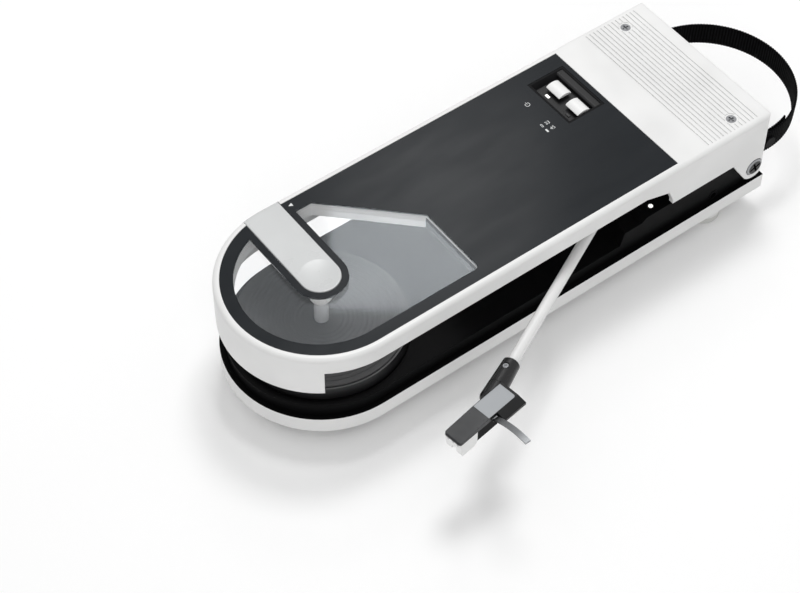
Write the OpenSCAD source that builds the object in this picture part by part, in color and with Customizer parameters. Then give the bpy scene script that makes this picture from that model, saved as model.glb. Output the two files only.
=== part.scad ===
// Portable turntable: a slim battery player that clamps a disc between a small platter and a hinged lid.
// Frame: origin on the spindle axis at the record seat, +Z up, +Y to the hinge, +X to the tonearm side.

/* [Body] */
// Half width of the lid, and the radius of its round front
lid_hw = 50; // [48:0.5:53]
// Distance from the spindle axis to the lid's rear wall
lid_rear = 240; // [236:1:250]
// Height of the lid's rim above the record seat
lid_top = 31.5; // [30.5:0.5:35]
// Thickness of the lid's side walls
lid_wall = 2.8; // [2.4:0.1:3.2]
// Radius along the lid's top edge
lid_edge_r = 2.4; // [1.5:0.1:2.8]
// Height of the lid's underside above the record seat
lid_under = 21.8; // [20.5:0.1:22.5]
// Height of the lid's front skirt above the record seat
skirt_z = 7; // [6:0.5:9]
// Height of the floor below the record seat
floor_depth = 38.5; // [37:0.5:42]
// Half width of the bottom shell
shell_hw = 49.5; // [48.5:0.5:52]
// Thickness of the bottom shell's wall
shell_wall = 2.8; // [2.2:0.1:3]
// Depth at which the bottom shell starts to taper, below the record seat
taper_depth = 23.7; // [23.5:0.1:26]
// Distance that the taper goes in at the bottom
taper_in = 7.5; // [5:0.5:8]
// Depth of the bottom shell's top edge below the record seat
split_depth = 14.5; // [13.5:0.5:16]
// Depth of the front deck below the record seat
deck_depth = 8; // [7:0.5:9]
// Height of the raised rear deck above the record seat
rear_deck = 2.3; // [1.5:0.1:2.8]
// Thickness of the chassis's walls and deck
chassis_wall = 2.5; // [2:0.1:3]
// Diameter of a foot
foot_d = 17.5; // [15:0.5:18]
// Height of a foot
foot_h = 4; // [3:0.5:5]

/* [Lid top] */
// Width of the white rim round the panel
rim_w = 3.3; // [2.8:0.1:4]
// Thickness of the panel and the window
panel_t = 1; // [0.8:0.1:1.5]
// Depth of the panel's face below the rim
panel_sink = 0.4; // [0.2:0.1:0.8]
// Rear end of the panel, from the spindle axis
panel_rear = 179.7; // [176:0.1:186]
// Half width of the window, and the radius of its round front
window_hw = 40.2; // [38:0.1:42]
// Rear edge of the window, from the spindle axis
window_rear = 62.4; // [58:0.1:70]
// Half width of the opening bar, and the radius of its round end
bar_hw = 10.1; // [9:0.1:11]
// Width of the dark border round the bar
bridge_border = 3.5; // [2.5:0.1:4.5]
// Half width of the bridge's core, under the bar
bridge_core = 5.6; // [5:0.1:7]
// Travel of the opening bar
bar_travel = 4; // [3:0.5:5]
// Number of grooves on the rear top
groove_n = 14; // [8:1:16]
// Width of a groove
groove_w = 0.7; // [0.6:0.1:1.2]
// Depth of a groove
groove_depth = 0.4; // [0.3:0.1:0.8]

/* [Buttons] */
// Left edge of the button well
well_x = -38; // [-39:0.5:-37]
// Width of the button well
well_w = 32.5; // [31.5:0.5:34]
// Front edge of the button well
well_y = 154.5; // [153:0.5:155.5]
// Length of the button well
well_len = 22.5; // [21.5:0.5:23.5]
// Width of the power button
power_w = 10.3; // [9.5:0.1:11]
// Width of the speed button
speed_w = 9.6; // [9:0.1:10.5]
// Length of a button, along the body
button_len = 7.8; // [7:0.1:8.5]
// Travel of a button
button_travel = 1; // [0.6:0.1:1.2]

/* [Platter] */
// Radius of the platter
platter_r = 42; // [40:0.5:42.5]
// Thickness of the mat
mat_t = 1; // [0.8:0.1:1.5]
// Diameter of the spindle where the disc sits
spindle_d = 7.2; // [7:0.05:7.3]
// Length of the spindle above the record seat, below its tapered tip
spindle_len = 8; // [6:0.5:8]
// Radius of the platter's belt rim
belt_rim_r = 31; // [29:0.5:31.5]
// Radius of the motor pulley
pulley_r = 2.5; // [2:0.1:2.8]
// Thickness of the belt
belt_t = 0.8; // [0.6:0.1:1]
// Width of the belt
belt_w = 3; // [2:0.5:3.5]

/* [Tonearm] */
// Sideways place of the tonearm's pivot
pivot_x = 23.6; // [21:0.1:26]
// Distance of the tonearm's pivot behind the spindle axis
pivot_y = 165; // [164:0.5:168]
// Height of the tonearm's axis above the record seat
arm_z = 7.6; // [7.4:0.1:8]
// Angle of the tube to the body's length
arm_angle = 26.3; // [20:0.1:30]
// Diameter of the tube
tube_d = 5.6; // [5:0.1:6]
// Length from the pivot to the collar
tube_len = 126.5; // [118:0.5:130]
// Diameter of the collar at the tube
collar_d = 8.6; // [8:0.1:9]
// Diameter of the collar at its end
collar_end_d = 10.6; // [9.6:0.1:10.8]
// Length of the collar
collar_len = 25.5; // [25:0.5:28]
// Angle of the headshell to the body's length
head_angle = 8.6; // [7:0.1:10]
// Length of the headshell
head_len = 38; // [36:0.5:40]
// Width of the headshell's front
head_w = 10.2; // [9:0.1:11]
// Thickness of a record, which the stylus stands on
record_t = 1.8; // [1.2:0.1:2.2]

/* [Hinge and strap] */
// Distance of the hinge axis from the spindle axis
hinge_y = 232.5; // [231:0.5:233]
// Depth of the hinge axis below the record seat
hinge_depth = 3; // [2.5:0.1:3.5]
// Diameter of a hinge screw's head
hinge_head_d = 10; // [9:0.1:11]
// Width of the strap's webbing
strap_w = 13.2; // [12:0.1:15]
// Thickness of the webbing
strap_t = 1.5; // [1.2:0.1:1.8]
// Length of the strap's folded ends
strap_fold = 19; // [16:0.5:22]

/* [Hidden] */
$fn = 64;

// Clearances: a running fit, a slide, and a loose gap
run = 0.05;
slide = 0.25;
gap = 0.3;
// Overshoot that takes a cut past a face
eps = 1;
// Reach of a cut that takes everything on one side
far = 400;

// Colours of the finishes
white = [0.93, 0.93, 0.92];
dark = [0.16, 0.17, 0.18];
black = [0.07, 0.07, 0.08];
steel = [0.75, 0.75, 0.77];

// Heights of the lid's layers
panel_z = lid_top - panel_sink - panel_t;
plate_t = 1.5;
plate_z = panel_z - plate_t;
cover_t = 1.4;
cover_z = lid_under + cover_t;
lid_in = lid_hw - lid_wall;
cover_fit = 0.1;

// Chassis and bottom shell
// The skirt plugs into the tray, and the hinge's washers stand between the chassis and the lid
skirt_hw = shell_hw - shell_wall - cover_fit;
washer_t = 0.5;
washer_fit = 0.1;
washer_r = 4.5;
chassis_hw = lid_in - washer_t - washer_fit;
shell_rear = lid_rear + 1;
chassis_rear = shell_rear - shell_wall - cover_fit;
shell_bottom = floor_depth - foot_h;
shell_floor_t = 2.5;
shell_floor = shell_bottom - shell_floor_t;
chassis_skirt = split_depth + 7.5;
// The raised deck stays clear of a twelve-inch disc
disc_clear_r = 154;
deck_slope = 3;
deck_ramp_y = 160;
deck_ramp_len = 4;

// Platter, belt and bearing
well_clear = 1;
well_floor = deck_depth + 4.5;
well_floor_t = 2;
platter_t = 3;
platter_wall = 2.5;
platter_bottom = well_floor - 1.2;
shaft_r = 2.5;
spindle_neck = 0.2;
bearing_r = 5;
bearing_flange_r = 9;
bearing_len = 15;
tip_taper = 5;
tip_round = 0.7;
tip_h = tip_taper + tip_round;
motor_dist = belt_rim_r + pulley_r + 1.7;
belt_z = -(mat_t + platter_t + platter_bottom) / 2;
pulley_flange = 0.7;
motor_r = 12;
motor_h = 16;
motor_shaft_r = 1;

// Tonearm
lift_pin_r = 1;
hub_r = 3.4;
hub_back = 5;
hub_front = 11;
turret_r = 6.5;
turret_z = rear_deck + 0.5;
turret_t = 0.5;
cheek_gap = gap;
cheek_t = 1.6;
post_r = 5;
head_top = 14.6;
head_slope = 1.4;
head_plate_t = 0.5;
head_bottom = 11.75;
head_step = 19;
head_flare = 5;
head_flare_at = 24;
head_roll = 0.7;
head_corner = 1.5;
// Front edge of the headshell, in the middle of its width, from the end of the collar
head_ahead = 28.9;
head_side = -4.35;
arm_turn = arm_angle - 90;
head_reach = tube_len + collar_len + head_ahead;
head_x = pivot_x + head_reach * cos(arm_turn) - head_side * sin(arm_turn);
head_y = pivot_y + head_reach * sin(arm_turn) + head_side * cos(arm_turn);
stylus_back = 5;
holder_start = 0.4;
holder_lean = 1.5;
holder_end = 11.5;
holder_bottom = 2.6;
holder_cut = 1.8;
cartridge_end = 25;

// Hinge and strap
hinge_z = -hinge_depth;
lug_r = 7.8;
hinge_shank_r = 2;
head_recess = 1.2;
strap_z = 1.5;
strap_pivot_y = lid_rear + 7;
strap_end = 4;
strap_r = lid_in - 3.6;
strap_gap = 0.2;
strap_droop = 3;
ear_t = 2.6;
ear_r = 4;
rivet_r = 2;
ear_x = strap_r - 1.5 * strap_t - strap_gap - gap - ear_t;

// Screws
screw_r = 1.5;
bottom_head_r = 3;
bottom_screw_len = 12;
bottom_screw_sink = 1;
top_head_r = 2.65;
top_screw_len = 9;
lid_head_r = 2.2;
lid_screw_r = 1.2;
lid_screw_len = 5;
cover_screw_in = 4;
cover_screws = [for (y = [75, 140, 225], s = [-1, 1])
    [s * (y > pivot_y ? 26 : lid_in - cover_screw_in), y]];
top_screw_x = 40;
top_screw_y = 220.4;
bottom_screw_at = [[-35, 75], [35, 75], [-35, 195], [35, 195]];
feet_at = [[-22, -20], [22, -20], [-35.8, 215.2], [35.8, 215.2]];

// A long outline with a round front about the spindle axis and a straight or rounded rear
module stadium(hw, rear, corner = 0) {
    circle(hw);
    translate([-hw, 0])
        square([2 * hw, rear - corner]);
    if (corner > 0) {
        translate([-(hw - corner), 0])
            square([2 * (hw - corner), rear]);
        for (s = [-1, 1])
            translate([s * (hw - corner), rear - corner])
                circle(corner);
    }
}

// A half section from the middle outwards, with its outer corner at the top rounded
module edge_section(hw, low, high, r) {
    translate([0, low])
        square([hw, high - low - r]);
    translate([0, low])
        square([hw - r, high - low]);
    translate([hw - r, high - r])
        circle(r);
}

// The section carried along the body and round its front
module section_sweep(hw, rear, low, high, r) {
    rotate([0, 0, 180])
        rotate_extrude(angle = 180)
            edge_section(hw, low, high, r);
    translate([0, rear, 0])
        rotate([90, 0, 0])
            linear_extrude(rear)
                for (m = [0, 1])
                    mirror([m, 0])
                        edge_section(hw, low, high, r);
}

// A drawing of Y and Z carried across the body along X
module across(x0, x1) {
    translate([x0, 0, 0])
        rotate([90, 0, 90])
            linear_extrude(x1 - x0)
                children();
}

// A cylinder along X
module rod_x(x0, x1, y, z, r) {
    translate([x0, y, z])
        rotate([0, 90, 0])
            cylinder(r = r, h = x1 - x0);
}

// A cylinder along Z between two heights
module post(x, y, z0, z1, r) {
    translate([x, y, z0])
        cylinder(r = r, h = z1 - z0);
}

// A block between two corners
module block(a, b) {
    translate(a)
        cube(b - a);
}

// A cross recess for a driver, sunk from z = 0 downwards
module cross_recess(length, width, depth) {
    for (turn = [0, 90])
        rotate([0, 0, turn])
            translate([-length / 2, -width / 2, -depth])
                cube([length, width, depth + eps]);
}

// A countersunk screw whose face lies at z = 0, shank downwards
module screw(head_r, r, length) {
    difference() {
        union() {
            translate([0, 0, -(head_r - r) - 0.4])
                cylinder(r1 = r, r2 = head_r, h = head_r - r);
            translate([0, 0, -0.4])
                cylinder(r = head_r, h = 0.4);
            translate([0, 0, -length])
                cylinder(r = r, h = length - 0.4);
        }
        cross_recess(1.3 * head_r, 0.3 * head_r, 0.7);
    }
}

// The seat that such a screw lies in
module screw_seat(head_r, r, length) {
    translate([0, 0, -(head_r - r) - 0.4])
        cylinder(r1 = r, r2 = head_r, h = head_r - r);
    translate([0, 0, -0.4])
        cylinder(r = head_r, h = 0.4 + eps);
    translate([0, 0, -length])
        cylinder(r = r, h = length);
}

// Half of the bottom shell's section out to a reach, moved inwards by a distance
module tray_half(reach, from, inset, depth, high) {
    lean = atan(taper_in / (shell_bottom - taper_depth));
    slant = inset / cos(lean);
    bend = taper_depth - (slant - inset) / tan(lean);
    polygon([[from, -depth], [reach - slant - (depth - taper_depth) * tan(lean), -depth],
        [reach - inset, -bend], [reach - inset, high], [from, high]]);
}

// The tray that this section makes round the front, along the sides and at the rear
module tray(inset, depth, high) {
    intersection() {
        union() {
            rotate([0, 0, 180])
                rotate_extrude(angle = 180)
                    tray_half(shell_hw, 0, inset, depth, high);
            translate([0, far, 0])
                rotate([90, 0, 0])
                    linear_extrude(far)
                        for (m = [0, 1])
                            mirror([m, 0])
                                tray_half(shell_hw, 0, inset, depth, high);
        }
        across(-far, far)
            tray_half(shell_rear, -far, inset, depth, high);
    }
}

// Bottom shell: a white tray that tapers in towards the floor
module bottom_shell() {
    foot_boss_top = shell_floor - 2;
    color(white)
        difference() {
            union() {
                difference() {
                    tray(0, shell_bottom, -split_depth);
                    tray(shell_wall, shell_floor, -split_depth + eps);
                }
                for (p = board_posts())
                    post(p[0], p[1], -shell_floor, -board_depth, 3);
                for (p = feet_at)
                    post(p[0], p[1], -shell_bottom, -foot_boss_top, foot_d / 2);
            }
            bottom_screw_seats();
        }
}

// The seats of the bottom screws, through the shell and into the chassis's bosses
module bottom_screw_seats() {
    for (p = bottom_screw_at)
        translate([p[0], p[1], -shell_bottom + bottom_screw_sink])
            mirror([0, 0, 1])
                screw_seat(bottom_head_r, screw_r, bottom_screw_len);
}

// Feet: four soft discs under the shell
module feet() {
    color([0.8, 0.8, 0.79])
        for (p = feet_at)
            translate([p[0], p[1], -floor_depth])
                rotate_extrude() {
                    square([foot_d / 2 - 0.8, foot_h]);
                    translate([0, 0.8])
                        square([foot_d / 2, foot_h - 0.8]);
                    translate([foot_d / 2 - 0.8, 0.8])
                        circle(0.8);
                }
}

// Bottom screws: they join the shell to the chassis
module bottom_screws() {
    color(steel)
        for (p = bottom_screw_at)
            translate([p[0], p[1], -shell_bottom + bottom_screw_sink])
                mirror([0, 0, 1])
                    screw(bottom_head_r, screw_r, bottom_screw_len);
}

// One level of the chassis's outside, moved inwards by a distance
module chassis_level(low, high, hw, inset) {
    translate([0, 0, low])
        linear_extrude(high - low)
            stadium(hw - inset, chassis_rear - inset);
}

// The chassis's outside: a skirt, a low front deck, and a rear deck that rises behind the disc
module chassis_block(inset, drop) {
    chassis_level(-chassis_skirt - inset, -split_depth - inset, skirt_hw, inset);
    if (inset > 0)
        chassis_level(-split_depth - inset, -split_depth + inset, min(skirt_hw, chassis_hw), inset);
    chassis_level(-split_depth + inset, -deck_depth - drop, chassis_hw, inset);
    difference() {
        intersection() {
            translate([0, 0, -chassis_skirt])
                linear_extrude(far)
                    stadium(chassis_hw - inset, chassis_rear - inset);
            across(-far, far)
                polygon([[0, -deck_depth - drop - eps], [0, -drop], [deck_ramp_y, -drop],
                    [deck_ramp_y + deck_ramp_len, rear_deck - drop], [far, rear_deck - drop],
                    [far, -deck_depth - drop - eps]]);
        }
        translate([0, 0, -deck_depth - eps])
            cylinder(r1 = disc_clear_r + inset, r2 = disc_clear_r + inset + deck_slope,
                h = deck_depth + rear_deck + eps);
    }
}

// Ears at the chassis's rear that carry the strap
module strap_ears() {
    for (s = [-1, 1])
        translate([s * (ear_x + ear_t / 2), 0, 0])
            across(-ear_t / 2, ear_t / 2)
                difference() {
                    union() {
                        translate([strap_pivot_y, strap_z])
                            circle(ear_r);
                        translate([chassis_rear - chassis_wall, strap_z - ear_r])
                            square([strap_pivot_y - chassis_rear + chassis_wall, 2 * ear_r]);
                    }
                    translate([strap_pivot_y, strap_z])
                        circle(rivet_r);
                    translate([0, rear_deck])
                        square([chassis_rear, far]);
                }
}

// Chassis: the black upper half of the base
module chassis() {
    boss_r = 3.5;
    hinge_boss_r = 5;
    hinge_boss_len = 8;
    color(black)
        difference() {
            union() {
                difference() {
                    chassis_block(0, 0);
                    chassis_block(chassis_wall, chassis_wall);
                }
                post(0, 0, -well_floor - well_floor_t, -deck_depth - eps, platter_r + well_clear + 1);
                for (p = bottom_screw_at)
                    post(p[0], p[1], -shell_floor,
                        (p[1] > disc_clear_r ? rear_deck : -deck_depth) - eps, boss_r);
                for (s = [-1, 1])
                    rod_x(s * chassis_hw - (s > 0 ? hinge_boss_len : 0),
                        s * chassis_hw + (s > 0 ? 0 : hinge_boss_len), hinge_y, hinge_z, hinge_boss_r);
                strap_ears();
            }
            post(0, 0, -well_floor, far, platter_r + well_clear);
            post(0, 0, -far, 0, bearing_r);
            post(0, motor_dist, -far, 0, pulley_r + pulley_flange + gap);
            post(pivot_x, pivot_y, -far, far, post_r);
            post(lamp_x, lamp_y, -far, far, lamp_r);
            rod_x(-far, far, hinge_y, hinge_z, hinge_shank_r);
            rod_x(0, far, socket_y, socket_z, socket_r);
            charge_block(charge_fit);
            bottom_screw_seats();
        }
}

// Platter bearing: a flanged bush through the well's floor
module platter_bearing() {
    z = -well_floor - well_floor_t;
    color([0.72, 0.6, 0.32])
        difference() {
            union() {
                post(0, 0, z - bearing_len, -well_floor, bearing_r);
                post(0, 0, z - 2, z, bearing_flange_r);
            }
            post(0, 0, z - bearing_len + 2, far, shaft_r + run);
        }
}

// Motor: a flat can under the well's floor, with its shaft's bore
module motor() {
    z = -well_floor - well_floor_t;
    color(steel)
        difference() {
            post(0, motor_dist, z - motor_h, z, motor_r);
            post(0, motor_dist, z - motor_h + 2, far, motor_shaft_r + run);
        }
}

// The loop round the belt rim and the pulley, grown outwards by a distance
module belt_loop(grow) {
    lean = acos((belt_rim_r - pulley_r) / motor_dist);
    big = belt_rim_r + grow;
    small = pulley_r + grow;
    rotate([0, 0, 90]) {
        circle(big);
        translate([motor_dist, 0])
            circle(small);
        polygon([[big * cos(lean), big * sin(lean)], [big * cos(lean), -big * sin(lean)],
            [motor_dist + small * cos(lean), -small * sin(lean)],
            [motor_dist + small * cos(lean), small * sin(lean)]]);
    }
}

// Drive belt: a flat loop that runs just off the rim and the pulley
module drive_belt() {
    color([0.1, 0.1, 0.1])
        translate([0, 0, belt_z - belt_w / 2])
            linear_extrude(belt_w)
                difference() {
                    belt_loop(slide + belt_t);
                    belt_loop(slide);
                }
}

// Battery pack: it lies on the bottom shell's floor, between the screw posts
battery = [58, 72, 11];
battery_y = 90;
module battery_pack() {
    color([0.2, 0.35, 0.6])
        translate([-battery[0] / 2, battery_y, -shell_floor])
            cube(battery);
}

// Main board: it stands on four posts behind the battery
board = [60, 54, 1.6];
board_y = 168;
board_depth = 27;
function board_posts() = [for (x = [-0.42, 0.42], y = [0.08, 0.92]) [x * board[0], board_y + y * board[1]]];
module main_board() {
    color([0.1, 0.35, 0.2])
        translate([-board[0] / 2, board_y, -board_depth])
            cube(board);
    color([0.15, 0.15, 0.16])
        for (c = [[-20, 14, 12], [4, 12, 9], [16, 34, 10]])
            translate([c[0], board_y + c[1], -board_depth + board[2]])
                cube([c[2], c[2], 1.5]);
}

// Line-out socket: a barrel with a round mouth in the chassis's right wall
socket_y = 208.9;
socket_z = -11.6;
socket_r = 2.8;
socket_len = 15;
socket_bore_r = 1.8;
socket_bore_len = 13;
socket_proud = 0.3;
module line_out_socket() {
    x1 = chassis_hw + socket_proud;
    color(black)
        difference() {
            rod_x(x1 - socket_len, x1, socket_y, socket_z, socket_r);
            rod_x(x1 - socket_bore_len, x1 + eps, socket_y, socket_z, socket_bore_r);
        }
}

// Charging socket: a steel shell with a flat mouth, in the chassis's rear wall
charge_w = 9.2;
charge_h = 3.4;
charge_len = 8;
charge_z = -9;
charge_t = 0.4;
charge_fit = 0;
module charge_block(fit) {
    for (s = [-1, 1])
        translate([s * (charge_w - charge_h) / 2, chassis_rear - charge_len, charge_z])
            rotate([-90, 0, 0])
                cylinder(d = charge_h + fit, h = charge_len + fit);
    translate([-(charge_w - charge_h) / 2, chassis_rear - charge_len, charge_z - (charge_h + fit) / 2])
        cube([charge_w - charge_h, charge_len + fit, charge_h + fit]);
}
module charge_socket() {
    color(steel)
        difference() {
            charge_block(0);
            for (s = [-1, 1])
                translate([s * (charge_w - charge_h) / 2, chassis_rear - charge_len + 1, charge_z])
                    rotate([-90, 0, 0])
                        cylinder(d = charge_h - 2 * charge_t, h = charge_len);
            translate([-(charge_w - charge_h) / 2, chassis_rear - charge_len + 1,
                charge_z - charge_h / 2 + charge_t])
                cube([charge_w - charge_h, charge_len, charge_h - 2 * charge_t]);
        }
}

// Status lamp: a small white lens on the raised deck
lamp_x = 41.9;
lamp_y = 169.8;
lamp_r = 1.2;
module status_lamp() {
    color("white")
        post(lamp_x, lamp_y, rear_deck - chassis_wall - 1, rear_deck + 0.2, lamp_r);
}

// Arm post: the fixed bearing that the tonearm swings in
module arm_post() {
    flange_r = 6.8;
    color(steel)
        difference() {
            union() {
                post(pivot_x, pivot_y, -9, turret_z - gap, post_r);
                post(pivot_x, pivot_y, -chassis_wall - 3, -chassis_wall, flange_r);
            }
            post(pivot_x, pivot_y, -8, far, shaft_r + run);
        }
}

// Hinge screws: large chrome heads that the lid turns on
module hinge_screws() {
    head_t = 1.8;
    crown = 0.5;
    shank_len = 9;
    x0 = lid_hw - head_recess + 0.1;
    color(steel)
        for (s = [0, 1])
            mirror([s, 0, 0])
                difference() {
                    union() {
                        rod_x(x0, x0 + head_t - crown, hinge_y, hinge_z, hinge_head_d / 2);
                        translate([x0 + head_t - crown, hinge_y, hinge_z])
                            rotate([0, 90, 0])
                                cylinder(r1 = hinge_head_d / 2, r2 = hinge_head_d / 2 - 1, h = crown);
                        rod_x(chassis_hw - shank_len + 2, x0, hinge_y, hinge_z, hinge_shank_r);
                    }
                    translate([x0 + head_t, hinge_y, hinge_z])
                        rotate([0, 90, 0])
                            rotate([0, 0, 20])
                                cross_recess(6.4, 1.3, 1.1);
                }
}

// Hinge washers: thin rings between the chassis and the lid's lugs
module hinge_washers() {
    color(steel)
        for (s = [0, 1])
            mirror([s, 0, 0])
                difference() {
                    rod_x(chassis_hw, chassis_hw + washer_t, hinge_y, hinge_z, washer_r);
                    rod_x(0, far, hinge_y, hinge_z, hinge_shank_r);
                }
}

// Strap rivets: they hold the strap's folded ends to the ears
module strap_rivets() {
    outside = strap_r + strap_t / 2 + gap / 2;
    color(black)
        for (s = [0, 1])
            mirror([s, 0, 0]) {
                rod_x(ear_x, outside, strap_pivot_y, strap_z, rivet_r);
                rod_x(outside, outside + 1, strap_pivot_y, strap_z, rivet_r + 1.2);
            }
}

// Platter: a thin disc with an outer skirt, a belt rim and a hub
module platter() {
    hub_wall = 6;
    top = -mat_t;
    color(dark)
        rotate_extrude()
            difference() {
                union() {
                    translate([shaft_r, top - platter_t])
                        square([platter_r - shaft_r, platter_t]);
                    for (r = [platter_r, belt_rim_r])
                        translate([r - platter_wall, -platter_bottom])
                            square([platter_wall, platter_bottom - mat_t]);
                    translate([shaft_r, -platter_bottom])
                        square([hub_wall, platter_bottom - mat_t]);
                }
                translate([0, -far])
                    square([spindle_d / 2 - spindle_neck, far]);
            }
}

// Platter mat: a rubber ring that the disc sits on
module platter_mat() {
    color([0.12, 0.12, 0.12])
        difference() {
            post(0, 0, -mat_t, 0, platter_r - 1);
            post(0, 0, -mat_t - eps, eps, spindle_d / 2 - spindle_neck);
        }
}

// Spindle: a pin with a tapered tip above the seat, and a thinner shaft in the bearing
module spindle() {
    r = spindle_d / 2;
    end_r = r - 0.8;
    round_r = (end_r * end_r + tip_round * tip_round) / (2 * tip_round);
    shaft_end = well_floor + well_floor_t + bearing_len - 2 - gap;
    color(steel) {
        post(0, 0, 0, spindle_len, r);
        post(0, 0, -platter_bottom, 0, r - spindle_neck);
        post(0, 0, -shaft_end, -platter_bottom, shaft_r);
        translate([0, 0, spindle_len])
            cylinder(r1 = r, r2 = end_r, h = tip_taper);
        translate([0, 0, spindle_len + tip_taper])
            intersection() {
                translate([0, 0, tip_round - round_r])
                    sphere(round_r);
                cylinder(r = end_r, h = tip_round);
            }
    }
}

// Motor pulley: a small drum with two flanges on the motor's shaft
module motor_pulley() {
    z0 = belt_z - belt_w / 2 - slide;
    z1 = belt_z + belt_w / 2 + slide;
    color([0.72, 0.6, 0.32]) {
        post(0, motor_dist, z0, z1, pulley_r);
        for (z = [z0 - pulley_flange, z1])
            post(0, motor_dist, z, z + pulley_flange, pulley_r + pulley_flange);
        post(0, motor_dist, -well_floor - well_floor_t - motor_h + 2.5, z0, motor_shaft_r);
    }
}

// The tonearm's own frame: origin at the pivot, +X along the tube to the head
module arm_frame() {
    translate([pivot_x, pivot_y, arm_z])
        rotate([0, 0, arm_angle - 90])
            children();
}

// Arm turret: it swings in the post and carries the hub between two cheeks
module arm_turret() {
    cheek_in = hub_r + cheek_gap;
    color(dark)
        difference() {
            union() {
                post(pivot_x, pivot_y, turret_z, turret_z + turret_t, turret_r);
                post(pivot_x, pivot_y, -7.5, turret_z, shaft_r);
                arm_frame()
                    for (s = [-1, 1])
                        translate([0, s * (cheek_in + cheek_t / 2), 0])
                            rotate([90, 0, 0])
                                linear_extrude(cheek_t, center = true) {
                                    circle(3);
                                    translate([-3, turret_z - arm_z])
                                        square([6, arm_z - turret_z]);
                                }
            }
            arm_frame()
                rotate([90, 0, 0])
                    cylinder(r = lift_pin_r, h = far, center = true);
        }
}

// Lift pin: it goes through the hub and both cheeks
module lift_pin() {
    color(steel)
        arm_frame()
            rotate([90, 0, 0])
                cylinder(r = lift_pin_r, h = 2 * (hub_r + cheek_gap + cheek_t), center = true);
}

// Arm hub: it holds the tube and tilts on the lift pin
module arm_hub() {
    color(dark)
        arm_frame()
            difference() {
                rotate([0, 90, 0])
                    translate([0, 0, -hub_back])
                        cylinder(r = hub_r, h = hub_back + hub_front);
                rotate([90, 0, 0])
                    cylinder(r = lift_pin_r + run, h = far, center = true);
                rotate([0, 90, 0])
                    translate([0, 0, tube_start])
                        cylinder(d = tube_d, h = far);
            }
}
tube_start = 4;
tube_tuck = 8;

// Arm tube: a straight light tube from the hub into the collar
module arm_tube() {
    wall = 0.6;
    color(white)
        arm_frame()
            rotate([0, 90, 0])
                difference() {
                    translate([0, 0, tube_start])
                        cylinder(d = tube_d, h = tube_len + tube_tuck - tube_start);
                    translate([0, 0, tube_start - eps])
                        cylinder(d = tube_d - 2 * wall, h = far);
                }
}

// The collar's outside, which also shapes the hollow under the headshell
module collar_block() {
    arm_frame()
        rotate([0, 90, 0])
            translate([0, 0, tube_len])
                rotate_extrude() {
                    polygon([[0, 0], [collar_d / 2 - collar_lip, 0], [collar_d / 2, collar_lip],
                        [collar_end_d / 2, collar_len - collar_round],
                        [collar_end_d / 2 - collar_round, collar_len], [0, collar_len]]);
                    translate([collar_end_d / 2 - collar_round, collar_len - collar_round])
                        circle(collar_round);
                }
}
collar_lip = 0.5;
collar_round = 2.4;

// Head collar: it joins the tube to the headshell and widens towards it
collar_screw_at = 5.5;
collar_screw_r = 1.4;
collar_screw_deep = 1.2;
collar_seat = 0.5;
collar_seat_deep = 0.7;
module head_collar() {
    seam = 0.25;
    color(black)
        difference() {
            collar_block();
            arm_frame() {
                rotate([0, 90, 0])
                    translate([0, 0, tube_len - eps])
                        cylinder(d = tube_d, h = tube_tuck + eps);
                rotate([0, 90, 0])
                    translate([0, 0, tube_len + 0.6 * collar_len])
                        difference() {
                            cylinder(d = collar_end_d + eps, h = seam);
                            cylinder(d = collar_d + 0.4, h = seam);
                        }
                collar_screw_place() {
                    translate([0, 0, -collar_screw_deep])
                        cylinder(r = collar_screw_r, h = far);
                    translate([0, 0, -collar_seat_deep])
                        cylinder(r = collar_screw_r + collar_seat, h = far);
                }
            }
        }
}
// Place of the collar's screw, on its upper side
module collar_screw_place() {
    translate([tube_len + collar_screw_at, 0, 0])
        rotate([10, 0, 0])
            translate([0, 0, collar_d / 2 + 0.2])
                children();
}

// Collar screw: a small socket screw that clamps the tube
module collar_screw() {
    color(steel)
        arm_frame()
            collar_screw_place()
                difference() {
                    translate([0, 0, -collar_screw_deep])
                        cylinder(r = collar_screw_r, h = collar_screw_deep - 0.2);
                    translate([0, 0, -0.6])
                        cylinder(r = 0.7, h = eps, $fn = 6);
                }
}

// The head's own frame: origin at its front edge, +X to the rear, +Y to the left
module head_frame() {
    translate([head_x, head_y, 0])
        rotate([0, 0, head_angle + 90])
            children();
}

// Headshell: a low wedge whose rear half is flat and flares to the right
module headshell() {
    hw = head_w / 2;
    front_top = head_top - head_slope;
    color([0.22, 0.22, 0.23])
        difference() {
            head_frame()
                union() {
                    intersection() {
                        translate([0, hw, 0])
                            rotate([90, 0, 0])
                                linear_extrude(head_w) {
                                    polygon([[0, head_bottom], [0, front_top - head_roll],
                                        [head_roll, front_top], [head_step, head_top],
                                        [head_len, head_top], [head_len, head_bottom]]);
                                    translate([head_roll, front_top - head_roll])
                                        circle(head_roll);
                                }
                        linear_extrude(head_top + eps) {
                            translate([head_corner, -hw])
                                square([head_len, head_w]);
                            translate([0, -hw + head_corner])
                                square([head_len, head_w - 2 * head_corner]);
                            for (s = [-1, 1])
                                translate([head_corner, s * (hw - head_corner)])
                                    circle(head_corner);
                        }
                    }
                    translate([head_flare_at, -hw - head_flare, 0])
                        rotate([90, 0, 90])
                            linear_extrude(head_len - head_flare_at)
                                polygon([[0, head_bottom], [0, head_top - 1.2], [head_flare, head_top],
                                    [head_flare + 1, head_top], [head_flare + 1, head_bottom]]);
                }
            head_frame()
                head_plate_block();
            collar_block();
        }
}

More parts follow.
